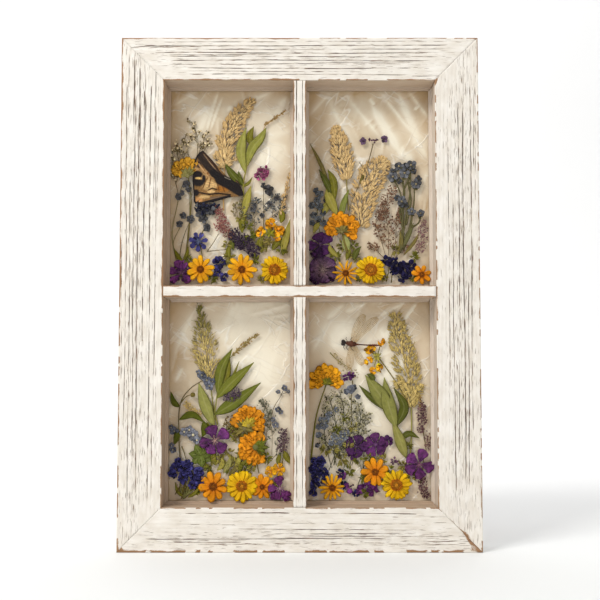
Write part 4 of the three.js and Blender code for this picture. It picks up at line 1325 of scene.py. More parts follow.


# %% [markdown]
# ## Grain plumes
# A plume is a stalk crowded with husks. Each husk starts beside the stalk, leans outwards
# and points up it. The ones in front are painted lightest and those behind darker, as painted
# light and shade. Fine awns stand from the tips.

# %% Plumes of grain
def plume(points, width, layer, husks, long, plump, light=STRAW, dark=HUSK, lean=0.85, awns=0,
          top=None, shape=0.6):
    """Husk lines: from a place beside the stalk, along a direction leaning further the
    further out it starts. The plume's width follows a rounded bell along the stalk."""
    seed = next(seeds)
    draw = np.random.default_rng(seed)
    line = route(points, 80)
    t = np.sort(draw.uniform(0, 1, husks))
    at = (t * 79).astype(int)
    tangent = unit(np.gradient(line, axis=0)[at])
    side = np.stack([-tangent[:, 1], tangent[:, 0]], -1)
    room = width / 2 * np.sin(np.pi * (0.1 + 0.84 * t)) ** shape
    out = draw.uniform(-1, 1, husks)
    lean_by = out * lean + draw.normal(0, 0.18, husks)
    direction = tangent * np.cos(lean_by)[:, None] + side * np.sin(lean_by)[:, None]
    size = long * draw.uniform(0.75, 1.1, husks) * (1 - 0.3 * t)
    beside_line = side * (out * np.maximum(room - 0.55 * size, 0.5))[:, None]
    base = line[at] + beside_line - tangent * 0.4 * size[:, None]
    high = (1 - np.abs(out)) * draw.uniform(0.3, 1.4, husks)
    s = shares(5)
    flat = base[:, None] + direction[:, None] * (size[:, None] * s)[..., None]
    forward = level(layer) + 0.25 + high[:, None] + 0.3 * np.sin(np.pi * s) + 0.2 * s
    lines = np.concatenate([flat, forward[..., None]], -1)
    half = plump * draw.uniform(0.7, 1.1, (husks, 1)) * lance(s) + 0.06
    # Painted light and shade: husks lying further forward get more of the light colour.
    near = np.clip(high + draw.uniform(-0.2, 0.4, husks), 0, 1)[:, None]
    tips = dark + (light - dark) * (0.35 + 0.65 * near)
    if top is not None:
        tips = tips + (top - tips) * np.clip((t - 0.55) / 0.4, 0, 1)[:, None] * 0.85
    look = dict(thick=0.5, across=5, cup=-0.35, rib=0.8, vary=0.14)
    parts = [blades(lines, half, tips * 0.72, tips, seed=seed, **look)]
    if awns:
        pick = draw.integers(0, husks, awns)
        start = lines[pick, -1]
        sway = draw.normal(0, 0.35, awns)
        heading = direction[pick] * np.cos(sway)[:, None] + side[pick] * np.sin(sway)[:, None]
        length = draw.uniform(1.5, 3.2, (awns, 1))
        end = np.concatenate([start[:, :2] + heading * length, start[:, 2:] + 0.2], 1)
        awn = between(start, end, 3)
        parts.append(blades(awn, 0.16 * stalk(shares(3)), tips[pick], thick=0.2, across=3, seed=seed + 1))
    stalk_line = np.column_stack([line[::4], np.full(20, level(layer) + 0.25)])[None]
    parts.append(blades(stalk_line, 0.5 * stalk(shares(20)), dark, light, thick=0.5, across=3, seed=seed))
    return parts


# %% [markdown]
# ## Twiggy sprays
# Gypsophila and thin forget-me-nots are branches that branch again and end in buds. Side
# twigs leave the main line on alternate sides, and each carries shorter twigs of its own.

# %% Twigs that branch twice
def spray(points, layer, colour=TWIG, bud=TWIG, pale=None, reach=8.0, spacing=3.2, angle=0.75, size=0.8,
          width=0.34):
    """Twig lines: from each node, at an angle to the main line, bending back towards it."""
    bare = 0.25
    seed = next(seeds)
    draw = np.random.default_rng(seed)
    main = route(points, 40)
    length = np.linalg.norm(np.diff(main, axis=0), axis=1).sum()
    count = max(3, int(length * (1 - bare) / spacing))
    t = bare + (1 - bare) * (np.arange(count) + draw.uniform(0.1, 0.9, count)) / count
    at = np.minimum((t * 39).astype(int), 38)
    tangent = np.gradient(main, axis=0)[at]
    heading = np.arctan2(tangent[:, 1], tangent[:, 0])
    turn = np.where(np.arange(count) % 2, 1, -1) * angle * draw.uniform(0.7, 1.2, count)
    s = shares(5)

    def twigs(start, heading, turn, size):
        bend = (heading + turn)[:, None] - 0.45 * turn[:, None] * s
        step = np.stack([np.cos(bend), np.sin(bend)], -1) * (size[:, None, None] / 4)
        step[:, 0] = 0
        return start[:, None] + np.cumsum(step, axis=1), bend[:, -1]

    size1 = reach * (1.05 - 0.65 * t) * draw.uniform(0.6, 1.1, count)
    first, ahead = twigs(main[at], heading, turn, size1)
    pick = np.repeat(np.arange(count), 4)
    spot = np.tile([1, 2, 3, 4], count)
    turn2 = np.where(np.tile([1, 0, 1, 0], count), 1, -1) * draw.uniform(0.4, 1.0, len(pick))
    size2 = size1[pick] * draw.uniform(0.25, 0.5, len(pick))
    second, _ = twigs(first[pick, spot], ahead[pick], turn2, size2)

    def raised(lines, base):
        lift = level(layer) + base + 0.3 * np.sin(lines[..., 0] * 0.7) ** 2
        return np.concatenate([lines, lift[..., None]], -1)

    parts = []
    sizes = [
        (main[::3][None], 0.2, 0.62, 1.0),
        (first, 0.25, 0.45 * stalk(s), 0.8),
        (second, 0.3, 0.36 * stalk(s), 0.6),
    ]
    for number, (lines, base, half, thick) in enumerate(sizes):
        look = dict(thick=width * thick, across=3, seed=seed + number)
        parts.append(blades(raised(lines, base), width * half, colour, **look))
    ends = np.concatenate([raised(second, 0.45)[:, -1], raised(first, 0.45)[:, -1]])
    colours = np.where(draw.uniform(size=(len(ends), 1)) < 0.6, bud if pale is None else pale, bud)
    radii = size * draw.uniform(0.6, 1.25, len(ends))
    parts.append(balls(ends, radii, colours, sides=5, bands=2, vary=0.25, seed=seed))
    return parts


# %% [markdown]
# ## Upper left pane: the butterfly's wing
# One folded wing of a swallowtail lies over the flowers, base to the right. Its scales make
# black borders, dark veins that spread from the base, and ochre and cream cells between.
# The wing is a fan of points from its base to its outline, fine enough to carry the colours
# on the points themselves, and each colour follows from a distance to a line or an edge.

# %% The wing's surface and its colours
WING_BASE = np.array([59.5, 76.5])
WING_EDGE = [
    (61.3, 74.6), (58.9, 81.4), (56.4, 85.6), (51.1, 88), (47.4, 89.4), (43.2, 90.6), (38, 99),
    (33.2, 105.2), (28, 110), (23.4, 105.8), (21.3, 100), (20.3, 93.2), (20.2, 84.8), (21.2, 74.6),
    (21.8, 68), (26, 66.4), (31.2, 67.8), (37.8, 68.9), (49.7, 72.4), (59.4, 73.4), (61.3, 74.6),
]
INK = paint(30, 27, 33)
TAN = paint(134, 104, 68)
CREAM = paint(204, 174, 128)
FAWN = paint(184, 152, 112)


def beside(p, start, end):
    """Distance from points to a straight line between two places."""
    start, end = np.array(start, float), np.array(end, float)
    way = end - start
    t = np.clip(((p - start) @ way) / (way @ way), 0, 1)
    return np.linalg.norm(p - start - t[..., None] * way, axis=-1)


def wing_colours(p):
    """Every mark is laid over the tan ground: an oval, or a line with a half width."""
    draw = np.random.default_rng(5)
    colour = np.broadcast_to(TAN, p.shape[:-1] + (3,)) * (1 + 0.2 * draw.normal(size=p.shape[:-1] + (1,)))

    ray = np.arctan2(p[..., 1] - WING_BASE[1], p[..., 0] - WING_BASE[0])
    rays = 1 + 0.12 * np.sin(74 * ray + 2 * np.sin(9 * ray)) + 0.09 * np.sin(131 * ray + 1.7)

    def lay(distance, over, soft=0.35):
        nonlocal colour
        share = np.clip((1 - distance) / soft + 0.5, 0, 1)[..., None]
        colour = colour * (1 - share) + over * rays[..., None] * share

    def oval(x, y, wide, high, over, soft=0.35):
        lay(np.hypot((p[..., 0] - x) / wide, (p[..., 1] - y) / high), over, soft)

    def line(places, half, over, soft=0.5):
        away = np.minimum.reduce([beside(p, a, b) for a, b in zip(places[:-1], places[1:])])
        lay(away / half, over, soft)

    cells = [
        (31, 92, 5, 5, FAWN, 1.2), (33.1, 82.6, 5.2, 4.6, CREAM, 0.5), (38, 81.4, 2.6, 2.4, CREAM, 0.7),
        (44.4, 79.4, 5.2, 2.6, paint(162, 110, 48), 0.7),
        (22.9, 95.3, 1.9, 1.3, FAWN, 0.5), (23.4, 80.4, 2, 1.2, TAN, 0.5),
        (25.2, 70.4, 3, 2.1, paint(196, 150, 104), 0.5),
        (29.5, 93.4, 1.0, 1.6, paint(128, 82, 40), 0.6), (32.2, 91.4, 0.9, 1.4, paint(128, 82, 40), 0.6),
        (25.4, 99, 1.9, 2.7, paint(52, 40, 42), 0.5),
    ]
    for mark in cells:
        oval(*mark)
    veins = [
        [(28.6, 80), (31, 86), (33.4, 89.8)], [(33.4, 80.8), (35, 88)], [(41.4, 78), (39.6, 85.6)],
        [(46, 77), (43.6, 82.6)], [(27.6, 98), (30.6, 91)],
    ]
    for places in veins:
        line(places, 0.45, paint(104, 68, 38), 0.9)
    blots = [
        (24, 91, 4.4, 3.0), (25, 84.2, 4.8, 2.9), (29.3, 87.4, 1.5, 3.2), (22.8, 76.2, 2.8, 2.8),
        (22.2, 88, 1.6, 4),
    ]
    for blot in blots:
        oval(*blot, INK)
    oval(24.9, 87.9, 2.7, 0.9, paint(206, 178, 120))
    line([(33.1, 78.3), (36.1, 79.8), (39.8, 78.6)], 0.55, paint(46, 30, 24))
    oval(35.1, 77, 3.2, 1.15, CREAM * 1.15)
    line([(25.5, 76.3), (33.1, 74.8), (41.1, 75.5), (50.4, 74.5)], 0.6, paint(34, 26, 26))
    oval(29.8, 72.9, 4.2, 1.5, CREAM)
    line([(35.1, 71.6), (49, 73.3)], 0.9, paint(116, 98, 84))
    line([(25, 99.6), (28.6, 94.6), (33.2, 88.6)], 0.6, FAWN)
    line([(28.4, 108.2), (34.4, 100.6), (42.4, 91)], 1.5, paint(66, 46, 40), 0.3)
    line([(29, 107.2), (34.4, 100), (41.4, 91.4)], 0.34, paint(156, 134, 110))
    line([(26.4, 105.6), (31.2, 98.6), (37.3, 91.4)], 2.9, paint(46, 38, 38), 0.4)
    for places, half in (([(37.2, 92), (42.8, 87)], 3.1), ([(42.6, 87), (49.7, 83.3), (56.5, 79)], 4.5)):
        line(places, half, INK, 0.25)
    line([(55, 79), (60.6, 75)], 3.2, INK, 0.25)
    line([(46, 88.6), (50.4, 86.8)], 0.36, paint(126, 122, 118))
    line(WING_EDGE[0:9], 0.5, paint(44, 34, 32))
    line(WING_EDGE[8:15], 1.1, INK)
    line([(22.6, 67.8), (27, 67), (31.2, 68.2), (37.8, 69.8), (49.7, 73)], 1.4, INK, 0.3)
    return np.clip(colour * (1 + 0.16 * draw.normal(size=p.shape[:-1] + (1,))), 0.004, 1)


def wing():
    """Rays from the base to the outline: each point is a share of the way out."""
    edge = route(WING_EDGE, 360)[:-1]
    s = np.linspace(0, 1, 64)[1:] ** 0.8
    flat = WING_BASE + (edge[:, None] - WING_BASE) * s[:, None]
    angle = np.arctan2(edge[:, 1] - WING_BASE[1], edge[:, 0] - WING_BASE[0])[:, None]
    forward = level(2) + 0.75 + 0.5 * s * (1 - s) + 0.16 * np.sin(angle * 26) * s
    forward = forward + 0.3 * np.sin(flat[..., 0] * 0.21)
    front = np.concatenate([flat, forward[..., None]], -1)
    rear = front - np.array([0, 0, 0.3])
    rays, steps = flat.shape[:2]
    ring = 2 * steps
    loop = np.concatenate([front, rear[:, ::-1]], axis=1).reshape(-1, 3)
    i, j = np.meshgrid(np.arange(rays), np.arange(ring - 1), indexing="ij")
    a, b = i * ring + j, ((i + 1) % rays) * ring + j
    quads = np.stack([a, a + 1, b + 1, b], -1).reshape(-1, 4)
    hubs = np.array([[*WING_BASE, level(2) + 0.9], [*WING_BASE, level(2) + 0.6]])
    i = np.arange(rays)
    after = (i + 1) % rays
    hub = rays * ring
    top = np.stack([np.full(rays, hub), i * ring, after * ring], -1)
    under = np.stack([np.full(rays, hub + 1), after * ring + ring - 1, i * ring + ring - 1], -1)
    points = np.concatenate([loop, hubs])
    flat = points[:, :2]
    return surface(points, quads, np.concatenate([top, under]), wing_colours(flat), flat * 0.05)


glue("upper_left", "swallowtail_wing", "butterfly_wing", [wing()])

# %% [markdown]
# ## Upper left pane: the plants
# Starting from the film and working forward: the plume and the leaves, the thin sprays, the
# clusters, and last the row of daisies along the foot.

# %% Upper left: plume, leaves and marigold
here = "upper_left"
glue(here, "grain_plume", "straw", [
    plume([(46, 98), (46, 112), (51, 127), (59, 141), (69, 152)], 18, 0, 300, 5.4, 1.0, lean=0.75),
    plume([(44, 97), (41, 103), (37, 107)], 7, 0, 26, 4.4, 0.9),
    plume([(46, 100), (51, 102), (56, 106)], 6, 0, 26, 4.2, 0.8),
    plume([(45, 110), (42, 117), (40, 123)], 7, 0, 34, 4.4, 0.9),
    stem([(45, 62), (45, 80), (46, 104)], 0, 1.2, HUSK),
])

glue(here, "willow_sprig", "leaf", [
    stem([(60, 52), (61, 72), (61, 85), (64, 99), (67.5, 116)], 1, 1.3, PALE_GREEN),
    leaf([(62.6, 92), (59, 108), (60, 118), (63, 129)], 8, 1, paint(160, 164, 84)),
    leaf([(63, 97), (68, 112), (75, 121), (79, 129)], 8, 1, paint(146, 152, 72)),
    leaf([(67, 114), (66, 122), (69, 130)], 5.5, 1, GREEN, lift=0.9),
    leaf([(61, 58), (64, 71), (67, 82)], 6, 1, PALE_GREEN),
    leaf([(61, 82), (52, 91), (46, 100)], 6, 1, DEEP_GREEN, lift=0.9),
    leaf([(61, 82), (58, 88), (57, 94)], 3.6, 1, DEEP_GREEN, lift=0.9),
    leaf([(60, 81), (65, 84), (68, 89)], 2.4, 1),
])

glue(
    here, "marigold", "orange_petal",
    frilled_fan((15.5, 91.0), 14.8, 0.18, 1.0, 1, root=paint(240, 164, 36), tip=paint(253, 200, 70)),
)
glue(here, "marigold", "leaf", [
    green_cup((16, 90), 8.6, 0.12, 1.02, 1.6, paint(138, 138, 84)),
    stem([(15, 24), (17.5, 48), (19, 72), (16, 92)], 1, 1.4, OLIVE),
    stem([(9, 93), (16, 91.5)], 1, 1.4, GREEN, 5),
])

# %% Upper left: blue flowers and the thin sprays
glue(here, "delphinium", "indigo_petal", [
    round_flower((25, 37), 8.6, 1, ROYAL * 0.7, ROYAL * 1.25, petals=7, width=0.26, throat=SKY, ripple=0.3),
    knots([(25, 37, 6)], 0.7, INDIGO, ROYAL, petals=9, width=0.26, tilt=0.4),
    florets([(32, 48, 3.6), (27, 60, 5.2), (35, 62, 4.8)], 1, SLATE * 0.8, eye=paint(60, 62, 80)),
    florets([
        (29, 55, 4.2), (32, 48, 3.5), (34, 63, 4.9), (26, 66, 4.4),
    ], 1.4, SLATE, eye=paint(50, 52, 70)),
    # Near-black navy petals packed just under the wing's lower edge: they are petals and also the painted
    # shadow that the wing casts there.
    knots(
        [(24, 64, 4), (29, 63, 5.6), (36, 64, 5.0), (39, 66, 3.5)], 1.8, paint(20, 22, 42),
        paint(40, 46, 78), petals=12, width=0.28,
    ),
    stem([(28, 6), (29, 20), (26, 36)], 1, 0.9, OLIVE), stem([(25, 37), (31, 52), (30, 66)], 1, 0.9, OLIVE),
])
glue(here, "larkspur", "indigo_petal", [
    knots([(42, 20, 7), (46, 9, 4.6), (40, 12, 4.0)], 1, INDIGO, ROYAL, petals=16)
])

gypsophila = dict(bud=paint(104, 94, 66), pale=paint(222, 212, 186), size=0.9, spacing=4.2, width=0.42)
twigs = [
    [(22, 98), (24, 112), (22, 127), (19, 134)], [(24, 106), (28, 116), (31, 127)],
    [(22, 98), (28, 108), (34, 120)], [(10, 70), (5, 92), (3.5, 110)], [(12, 92), (8, 106), (8, 117)],
    [(15, 95), (11, 110), (14, 122)], [(20, 100), (15, 112), (19, 122)],
]
glue(here, "dark_sprays", "dark_floret", [spray(points, 0.4, **gypsophila) for points in twigs])

blue_stems = [
    [(13, 5), (6, 28), (4, 45), (7, 62), (11, 80), (15, 86)], [(13, 5), (10, 22), (13, 40), (19, 55)],
    [(14, 8), (16, 36), (18, 60), (17, 80)], [(8, 26), (5, 36), (11, 50)],
]
blue_heads = [
    (9, 73, 3.5), (15, 83, 3.8), (17, 79, 3.0), (10, 51, 3.4), (13, 58, 3.3), (19, 55, 3.8), (12, 76, 2.6),
]
glue(here, "blue_sprays", "blue_floret", [
    [stem(points, 0.6, 0.8, paint(122, 120, 86), 24) for points in blue_stems],
    florets(blue_heads, 1.0, SLATE, eye=paint(90, 96, 118)), leaf([(13, 20), (9, 25), (6, 31)], 3.2, 0.8),
    leaf([(13, 22), (16, 27), (17, 33)], 2.8, 0.8),
])

glue(here, "grey_sprays", "dark_floret", [
    spray([(69, 30), (70, 50), (69, 63), (72, 70)], 0.6, bud=paint(96, 104, 116)),
    spray([(78, 46), (77, 60), (82, 67), (86, 74)], 0.6, bud=paint(84, 92, 104)),
    spray([(72, 34), (64, 52), (60, 66)], 0.6, bud=paint(110, 112, 92)),
    spray([(80, 44), (83, 56), (90, 62), (93, 72)], 0.6, bud=paint(84, 92, 104)),
    spray([(58, 46), (56, 58), (54, 68)], 0.6, bud=paint(128, 120, 88), size=0.9),
    spray([(62, 48), (62, 60), (61, 70)], 0.6, bud=paint(128, 120, 88), size=0.9),
    florets([
        (81, 79, 4.9), (88, 72, 3.1), (82, 76, 3.0), (77, 82, 2.8),
    ], 0.9, paint(72, 76, 90), eye=paint(52, 52, 66)),
    florets([
        (82, 67, 3.1), (69, 63, 3.1), (66, 57, 3.1), (70, 66, 2.4), (76, 58, 2.6),
    ], 0.9, SLATE, eye=paint(70, 74, 90)),
    stem([(77, 40), (77, 60), (77, 84)], 0.7, 0.7, TWIG, 20),
])

glue(here, "pink_head", "purple_petal", [
    knots(
        [(76, 92, 6.3), (73, 90, 4.0), (79, 95, 4.0)], 1.2, paint(104, 38, 88), paint(176, 96, 150),
        petals=16, width=0.28,
    ),
    specks([(76, 92, 5)], 1.6, paint(90, 34, 76), paint(190, 130, 170), each=12),
])

glue(here, "pink_astilbe", "dark_floret", [
    specks([
        (43, 56, 5), (46, 49, 5.4), (42, 49, 4.4), (41, 62, 3.4),
    ], 1.2, paint(128, 66, 84), paint(178, 128, 124), each=34),
    specks([(49, 43, 4.2)], 1.2, paint(110, 62, 66), paint(170, 130, 116), each=26),
])

glue(here, "seed_spikes", "straw", [
    plume([(91, 58), (94, 74), (99, 93)], 4.6, 0.4, 60, 3.4, 0.6),
    plume([(78, 131), (86, 137), (95, 143)], 3.0, 0.4, 34, 2.4, 0.5, paint(186, 160, 104)),
    stem([(76, 124), (79, 132), (86, 137)], 0.4, 0.7, HUSK),
])

glue(here, "foliage", "leaf", [
    leaf([(92, 26), (95, 40), (99.5, 57)], 6.0, 0.8, PALE_GREEN),
    leaf([(91, 52), (92, 58), (90, 64)], 5, 0.8), leaf([(84, 30), (88, 36), (95, 39)], 5, 0.8),
    leaf([(60, 44), (60, 52), (62, 58)], 4.4, 0.8),
    leaf([(53, 30), (52, 38), (54, 44)], 4, 0.8, DEEP_GREEN), leaf([(50, 22), (49, 29), (51, 36)], 4, 0.8),
    leaf([(76, 28), (74, 36), (78, 42)], 5, 0.8), leaf([(58, 30), (64, 38), (72, 43)], 4, 0.8, DEEP_GREEN),
    stem([(32, 29), (40, 30), (47, 30.5)], 0.8, 0.8, TWIG, 6),
    stem([(32, 29), (37, 36), (41, 43)], 0.8, 0.8, TWIG, 6),
])

# %% Upper left: the foot of the pane
undergrowth(here, [
    (37, 8, 5), (50, 25, 5), (70, 23, 5), (76, 8, 4), (17, 23, 4), (48, 35, 4.4), (67, 41, 5),
    (75, 34, 5), (92, 31, 5), (59, 56, 4.6), (64, 50, 5), (47, 20, 4),
])
glue(here, "purple_geranium", "purple_petal", [
    round_flower(
        (11.5, 11.5), 11.4, 1, PURPLE * 1.3, VIOLET * 1.6, [0.04, 0.19, 0.3, 0.45, 0.62, 0.88], width=0.32,
        throat=paint(150, 120, 156),
    ),
    knots([(9, 17, 5), (14, 8, 5), (6, 7, 4.6)], 0.7, PLUM, PURPLE, petals=8, width=0.3),
    stem([(15, 22), (12, 12), (8, 6)], 1, 1.2, OLIVE),
])
glue(
    here, "purple_statice", "dark_floret",
    specks(
        [(54, 42, 6), (62, 36, 6.8), (69, 30, 6), (58, 34, 4)], 1.3, paint(30, 22, 44), paint(84, 70, 102),
        each=60, size=0.95,
    ),
)
glue(here, "gold_daisy_left", "golden_petal", daisy((27, 14.6), 11.8, 10, 3.0, 3, **GOLD))
glue(here, "gold_daisy_right", "golden_petal", daisy((60, 14.4), 12.8, 11, 3.0, 3, **GOLD))
glue(here, "yellow_daisy", "yellow_petal", daisy((86, 14.2), 12.0, 15, 4.8, 3, width=1.1, **YELLOW))
glue(here, "orange_vetch", "orange_petal", [
    knots(
        [(75, 44.5, 4.9), (83, 51, 5.2), (89.5, 45, 5.4), (88, 40.5, 3.6)], 2, paint(234, 146, 10),
        paint(250, 182, 34), petals=11, width=0.5, tilt=0.32,
    )
])
glue(here, "orange_vetch", "leaf", [
    green_cup((82.5, 42.5), 5.6, -0.2, 1.2, 2, GREEN), green_cup((81, 37), 5.0, -0.6, 1.6, 1.6, OLIVE),
    stem([(79, 29), (81, 36), (82.5, 42.5)], 2, 1.2),
])

# %% [markdown]
# ## Upper right pane
# Two plumes stand here with a tall forget-me-not whose stems arch over at the top. The
# marigold is pressed from the side, and the foot is a row of daisies and purple flowers.

# %% Upper right: plumes and leaves
here = "upper_right"
glue(here, "grain_plume_left", "straw", [
    plume([(32, 88), (30, 102), (27, 115), (24, 130)], 19, 1, 270, 5.0, 0.95, lean=0.7),
    stem([(34, 62), (33, 78), (32, 94)], 1, 1.5, paint(150, 140, 74)),
])
glue(here, "grain_plume_right", "straw", [
    plume([(44, 50), (46, 69), (50, 83), (57, 95), (66, 103)], 25, 0, 420, 4.8, 0.85, lean=0.9)
])

glue(here, "leaf_sprig", "leaf", [
    leaf([(18, 84), (14, 94), (9, 105), (3.2, 116)], 3.0, 2, OLIVE),
    leaf([(22, 72), (16, 85), (10.5, 95)], 5, 2, DEEP_GREEN), leaf([(23, 70), (22, 85), (17.5, 95)], 6, 2),
    leaf([(25, 58), (19, 71), (16, 79)], 8, 2, PALE_GREEN),
    leaf([(27, 52), (30, 67), (34.5, 79)], 5, 2, paint(120, 132, 62)),
    stem([(33, 30), (28, 48), (24, 64), (20, 82)], 2, 1.3, PALE_GREEN),
])
glue(here, "foliage", "leaf", [
    leaf([(33, 28), (32, 36), (31, 43)], 7, 1.6, paint(150, 160, 104)),
    leaf([(26, 24), (20, 30), (18, 36)], 4, 1.4, PALE_GREEN),
    leaf([(38, 22), (40, 28), (44, 33)], 4.5, 1.4, DEEP_GREEN),
    leaf([(32, 22), (34, 28), (36, 31)], 3.6, 1.7), stem([(33, 4), (28, 18), (22, 32)], 1.4, 1.0, OLIVE),
    stem([(34, 4), (33, 20), (38, 30)], 1.4, 1.0, OLIVE),
    leaf([(14, 58), (17, 66), (24, 70)], 6, 0.8, PALE_GREEN),
    leaf([(6, 44), (9, 50), (14, 54)], 4, 0.8, PALE_GREEN),
])

# %% Upper right: forget-me-nots, violet and astilbe
heads = [
    (74.5, 97.5, 4.6), (84, 98.5, 5), (69.5, 89, 5), (79, 92, 5), (88, 83, 5), (76.5, 69, 5),
    (84.5, 61, 3.8), (91.5, 59.5, 3.8),
]
BLUE_GREY = paint(90, 100, 124)
glue(here, "forget_me_not", "blue_floret", [
    florets(heads, 2.3, BLUE_GREY, eye=paint(150, 140, 110)),
    florets([
        (70, 93, 3.4), (80, 98, 3.4), (86, 94, 3.6), (74, 86, 3.4), (90, 87, 3.4), (73, 72, 3), (80, 66, 3),
    ], 1.9, paint(72, 80, 98), eye=paint(90, 84, 70)),
    knots(
        [(x, y - 2.2, 0.8 * r) for x, y, r in heads], 1.7, paint(52, 52, 34), paint(92, 92, 62), petals=14,
        shape=lance, width=0.22,
    ),
])
arches = [
    [(75, 28), (77, 48), (78, 68), (78, 84), (76, 94)], [(75, 28), (82, 46), (86, 64), (87, 80)],
    [(76, 30), (79, 52), (83, 74), (84, 94)], [(78, 30), (77, 56), (76, 74), (70, 88)],
    [(79, 40), (84, 50), (85, 60)], [(84, 48), (90, 52), (92, 59)], [(77, 50), (75, 60), (76, 69)],
    [(76, 60), (79, 76), (76, 86), (71, 87)], [(80, 50), (84, 70), (82, 84), (88, 82)],
    [(79, 80), (83, 90), (80, 96)],
]
glue(here, "forget_me_not", "leaf", [
    [stem(points, 1.7, 1.7, paint(88, 88, 56), 22) for points in arches],
    leaf([(76, 30), (82, 42), (86, 52)], 3.4, 1.6, paint(98, 102, 62)),
    leaf([(75, 28), (76, 38), (75, 46)], 3.4, 1.6, OLIVE),
    leaf([(78, 26), (86, 36), (91, 45)], 2.6, 1.6, OLIVE),
])

glue(here, "violet_on_stalk", "purple_petal", [
    florets([(46, 118, 3.4), (63, 120, 3.6)], 0.7, paint(118, 80, 146), eye=paint(70, 44, 80)),
    knots(
        [(52, 119, 2.2), (55, 118, 2.1), (57, 118.6, 2)], 0.7, paint(66, 40, 70), paint(110, 84, 110),
        petals=8,
    ),
    stem([(54, 116), (50, 101), (44, 86), (37, 70), (34, 58)], 0.7, 0.8, TWIG, 24),
    stem([(43, 101), (47, 94)], 0.7, 0.7, TWIG, 4), leaf([(43, 83), (45, 88), (47, 92)], 2.2, 0.7, OLIVE),
])

glue(here, "blue_sprays", "blue_floret", [
    florets([
        (11, 75, 4), (22, 79, 4.2), (9, 70, 3.6), (5, 66, 3.6), (11, 65, 3.8), (10, 55, 3.6),
        (14, 52, 3.4), (6, 58, 3.4),
    ], 1.2, paint(100, 114, 138), eye=paint(96, 106, 120)),
    florets([
        (21, 74, 3.4), (14, 60, 3), (5, 52, 3), (16, 70, 2.8), (8, 78, 3),
    ], 1.0, paint(78, 90, 112), eye=paint(70, 80, 90)),
    stem([(12, 40), (9, 58), (11, 76)], 0.8, 0.8, OLIVE),
    stem([(16, 44), (14, 60), (22, 80)], 0.8, 0.8, OLIVE),
])

tall_twigs = [
    [(66, 26), (66, 44), (64, 56), (62, 68)], [(64, 24), (60, 38), (56, 52), (59, 60)],
    [(68, 24), (72, 40), (72, 54), (75, 60)],
]
low_twigs = [[(62, 24), (56, 30), (50, 34)], [(70, 22), (76, 30), (80, 34)]]
BROWN_TWIG = paint(104, 84, 66)
glue(here, "brown_astilbe", "dark_floret", [
    [spray(points, 0.6, BROWN_TWIG, paint(112, 84, 72), reach=9) for points in tall_twigs],
    [spray(points, 0.6, BROWN_TWIG, paint(120, 92, 76), reach=7) for points in low_twigs],
    specks([
        (69, 78, 4.6), (65, 71, 6.0), (62, 63, 5.2), (60, 56, 3),
    ], 0.8, paint(98, 72, 66), paint(158, 124, 104), each=26),
    specks([
        (58, 48, 3.6), (68, 35, 5.0), (73, 54, 3.4), (55, 33, 3.4), (61, 40, 3),
    ], 0.8, paint(106, 76, 62), paint(160, 128, 104), each=18),
])
glue(
    here, "mauve_astilbe", "dark_floret",
    specks([
        (93, 46, 4.9), (92, 39, 5.6), (91, 32, 4.4), (94, 52, 2.6),
    ], 0.8, paint(112, 78, 100), paint(172, 140, 148), each=24),
)

# %% Upper right: marigold and the foot of the pane
undergrowth(here, [
    (24, 25, 5), (40, 25, 5), (43, 8, 4.4), (22, 52, 5), (86, 25, 5), (62, 9, 4.6), (85, 8, 4),
    (29, 34, 5), (38, 34, 4), (72, 30, 5),
])
glue(here, "marigold", "orange_petal", frilled_fan((28.5, 46), 15.4, -0.15, 1.12, 3))
glue(here, "marigold", "leaf", [
    green_cup((28.5, 44.5), 7.5, 0.0, 1.0, 3.4, OLIVE),
    stem([(33, 28), (30, 38), (28.5, 46)], 3, 1.5, OLIVE),
])
glue(here, "purple_geranium", "purple_petal", [
    round_flower((11.6, 34.5), 10.8, 1.4, PLUM * 1.3, PURPLE * 1.3),
    round_flower(
        (13.6, 14.6), 12.6, 1, paint(132, 110, 130), PLUM * 1.6, petals=6, width=0.5,
        throat=paint(170, 154, 160),
    ),
    knots([(8, 6, 6), (18, 6, 5), (7, 26, 4.4)], 0.8, PLUM, PURPLE * 0.8, petals=10),
])
glue(here, "gold_daisy", "golden_petal", daisy((31.5, 11.5), 11.0, 12, 2.6, 3, width=0.55, **GOLD))
glue(here, "yellow_daisy", "yellow_petal", daisy((51.5, 14.2), 12.6, 17, 5.2, 4, width=1.1, **YELLOW))
knot_spots = [
    (63.5, 22, 5), (69, 20.5, 5.6), (73, 17, 6.4), (78, 15, 7), (84, 18, 5), (76, 8, 5), (81, 11, 4.6),
    (70, 14, 5),
]
glue(here, "larkspur", "indigo_petal", [
    knots(knot_spots, 1.4, INDIGO * 0.7, INDIGO * 1.3, petals=15),
    stem([(68, 4), (69, 12), (72, 20)], 0.9, 1.0, OLIVE, 6),
    stem([(64, 5), (66, 14), (66, 22)], 0.9, 1.0, OLIVE, 6),
])
glue(here, "orange_daisy", "golden_petal", daisy((92, 10.5), 8.6, 7, 2.4, 3, width=0.85, **ORANGE))

# %% [markdown]
# ## Lower left pane
# A sorrel-like plume with a green tip rises from broad willow leaves. A leafy stem at the
# left has turned its small blue flowers forward.

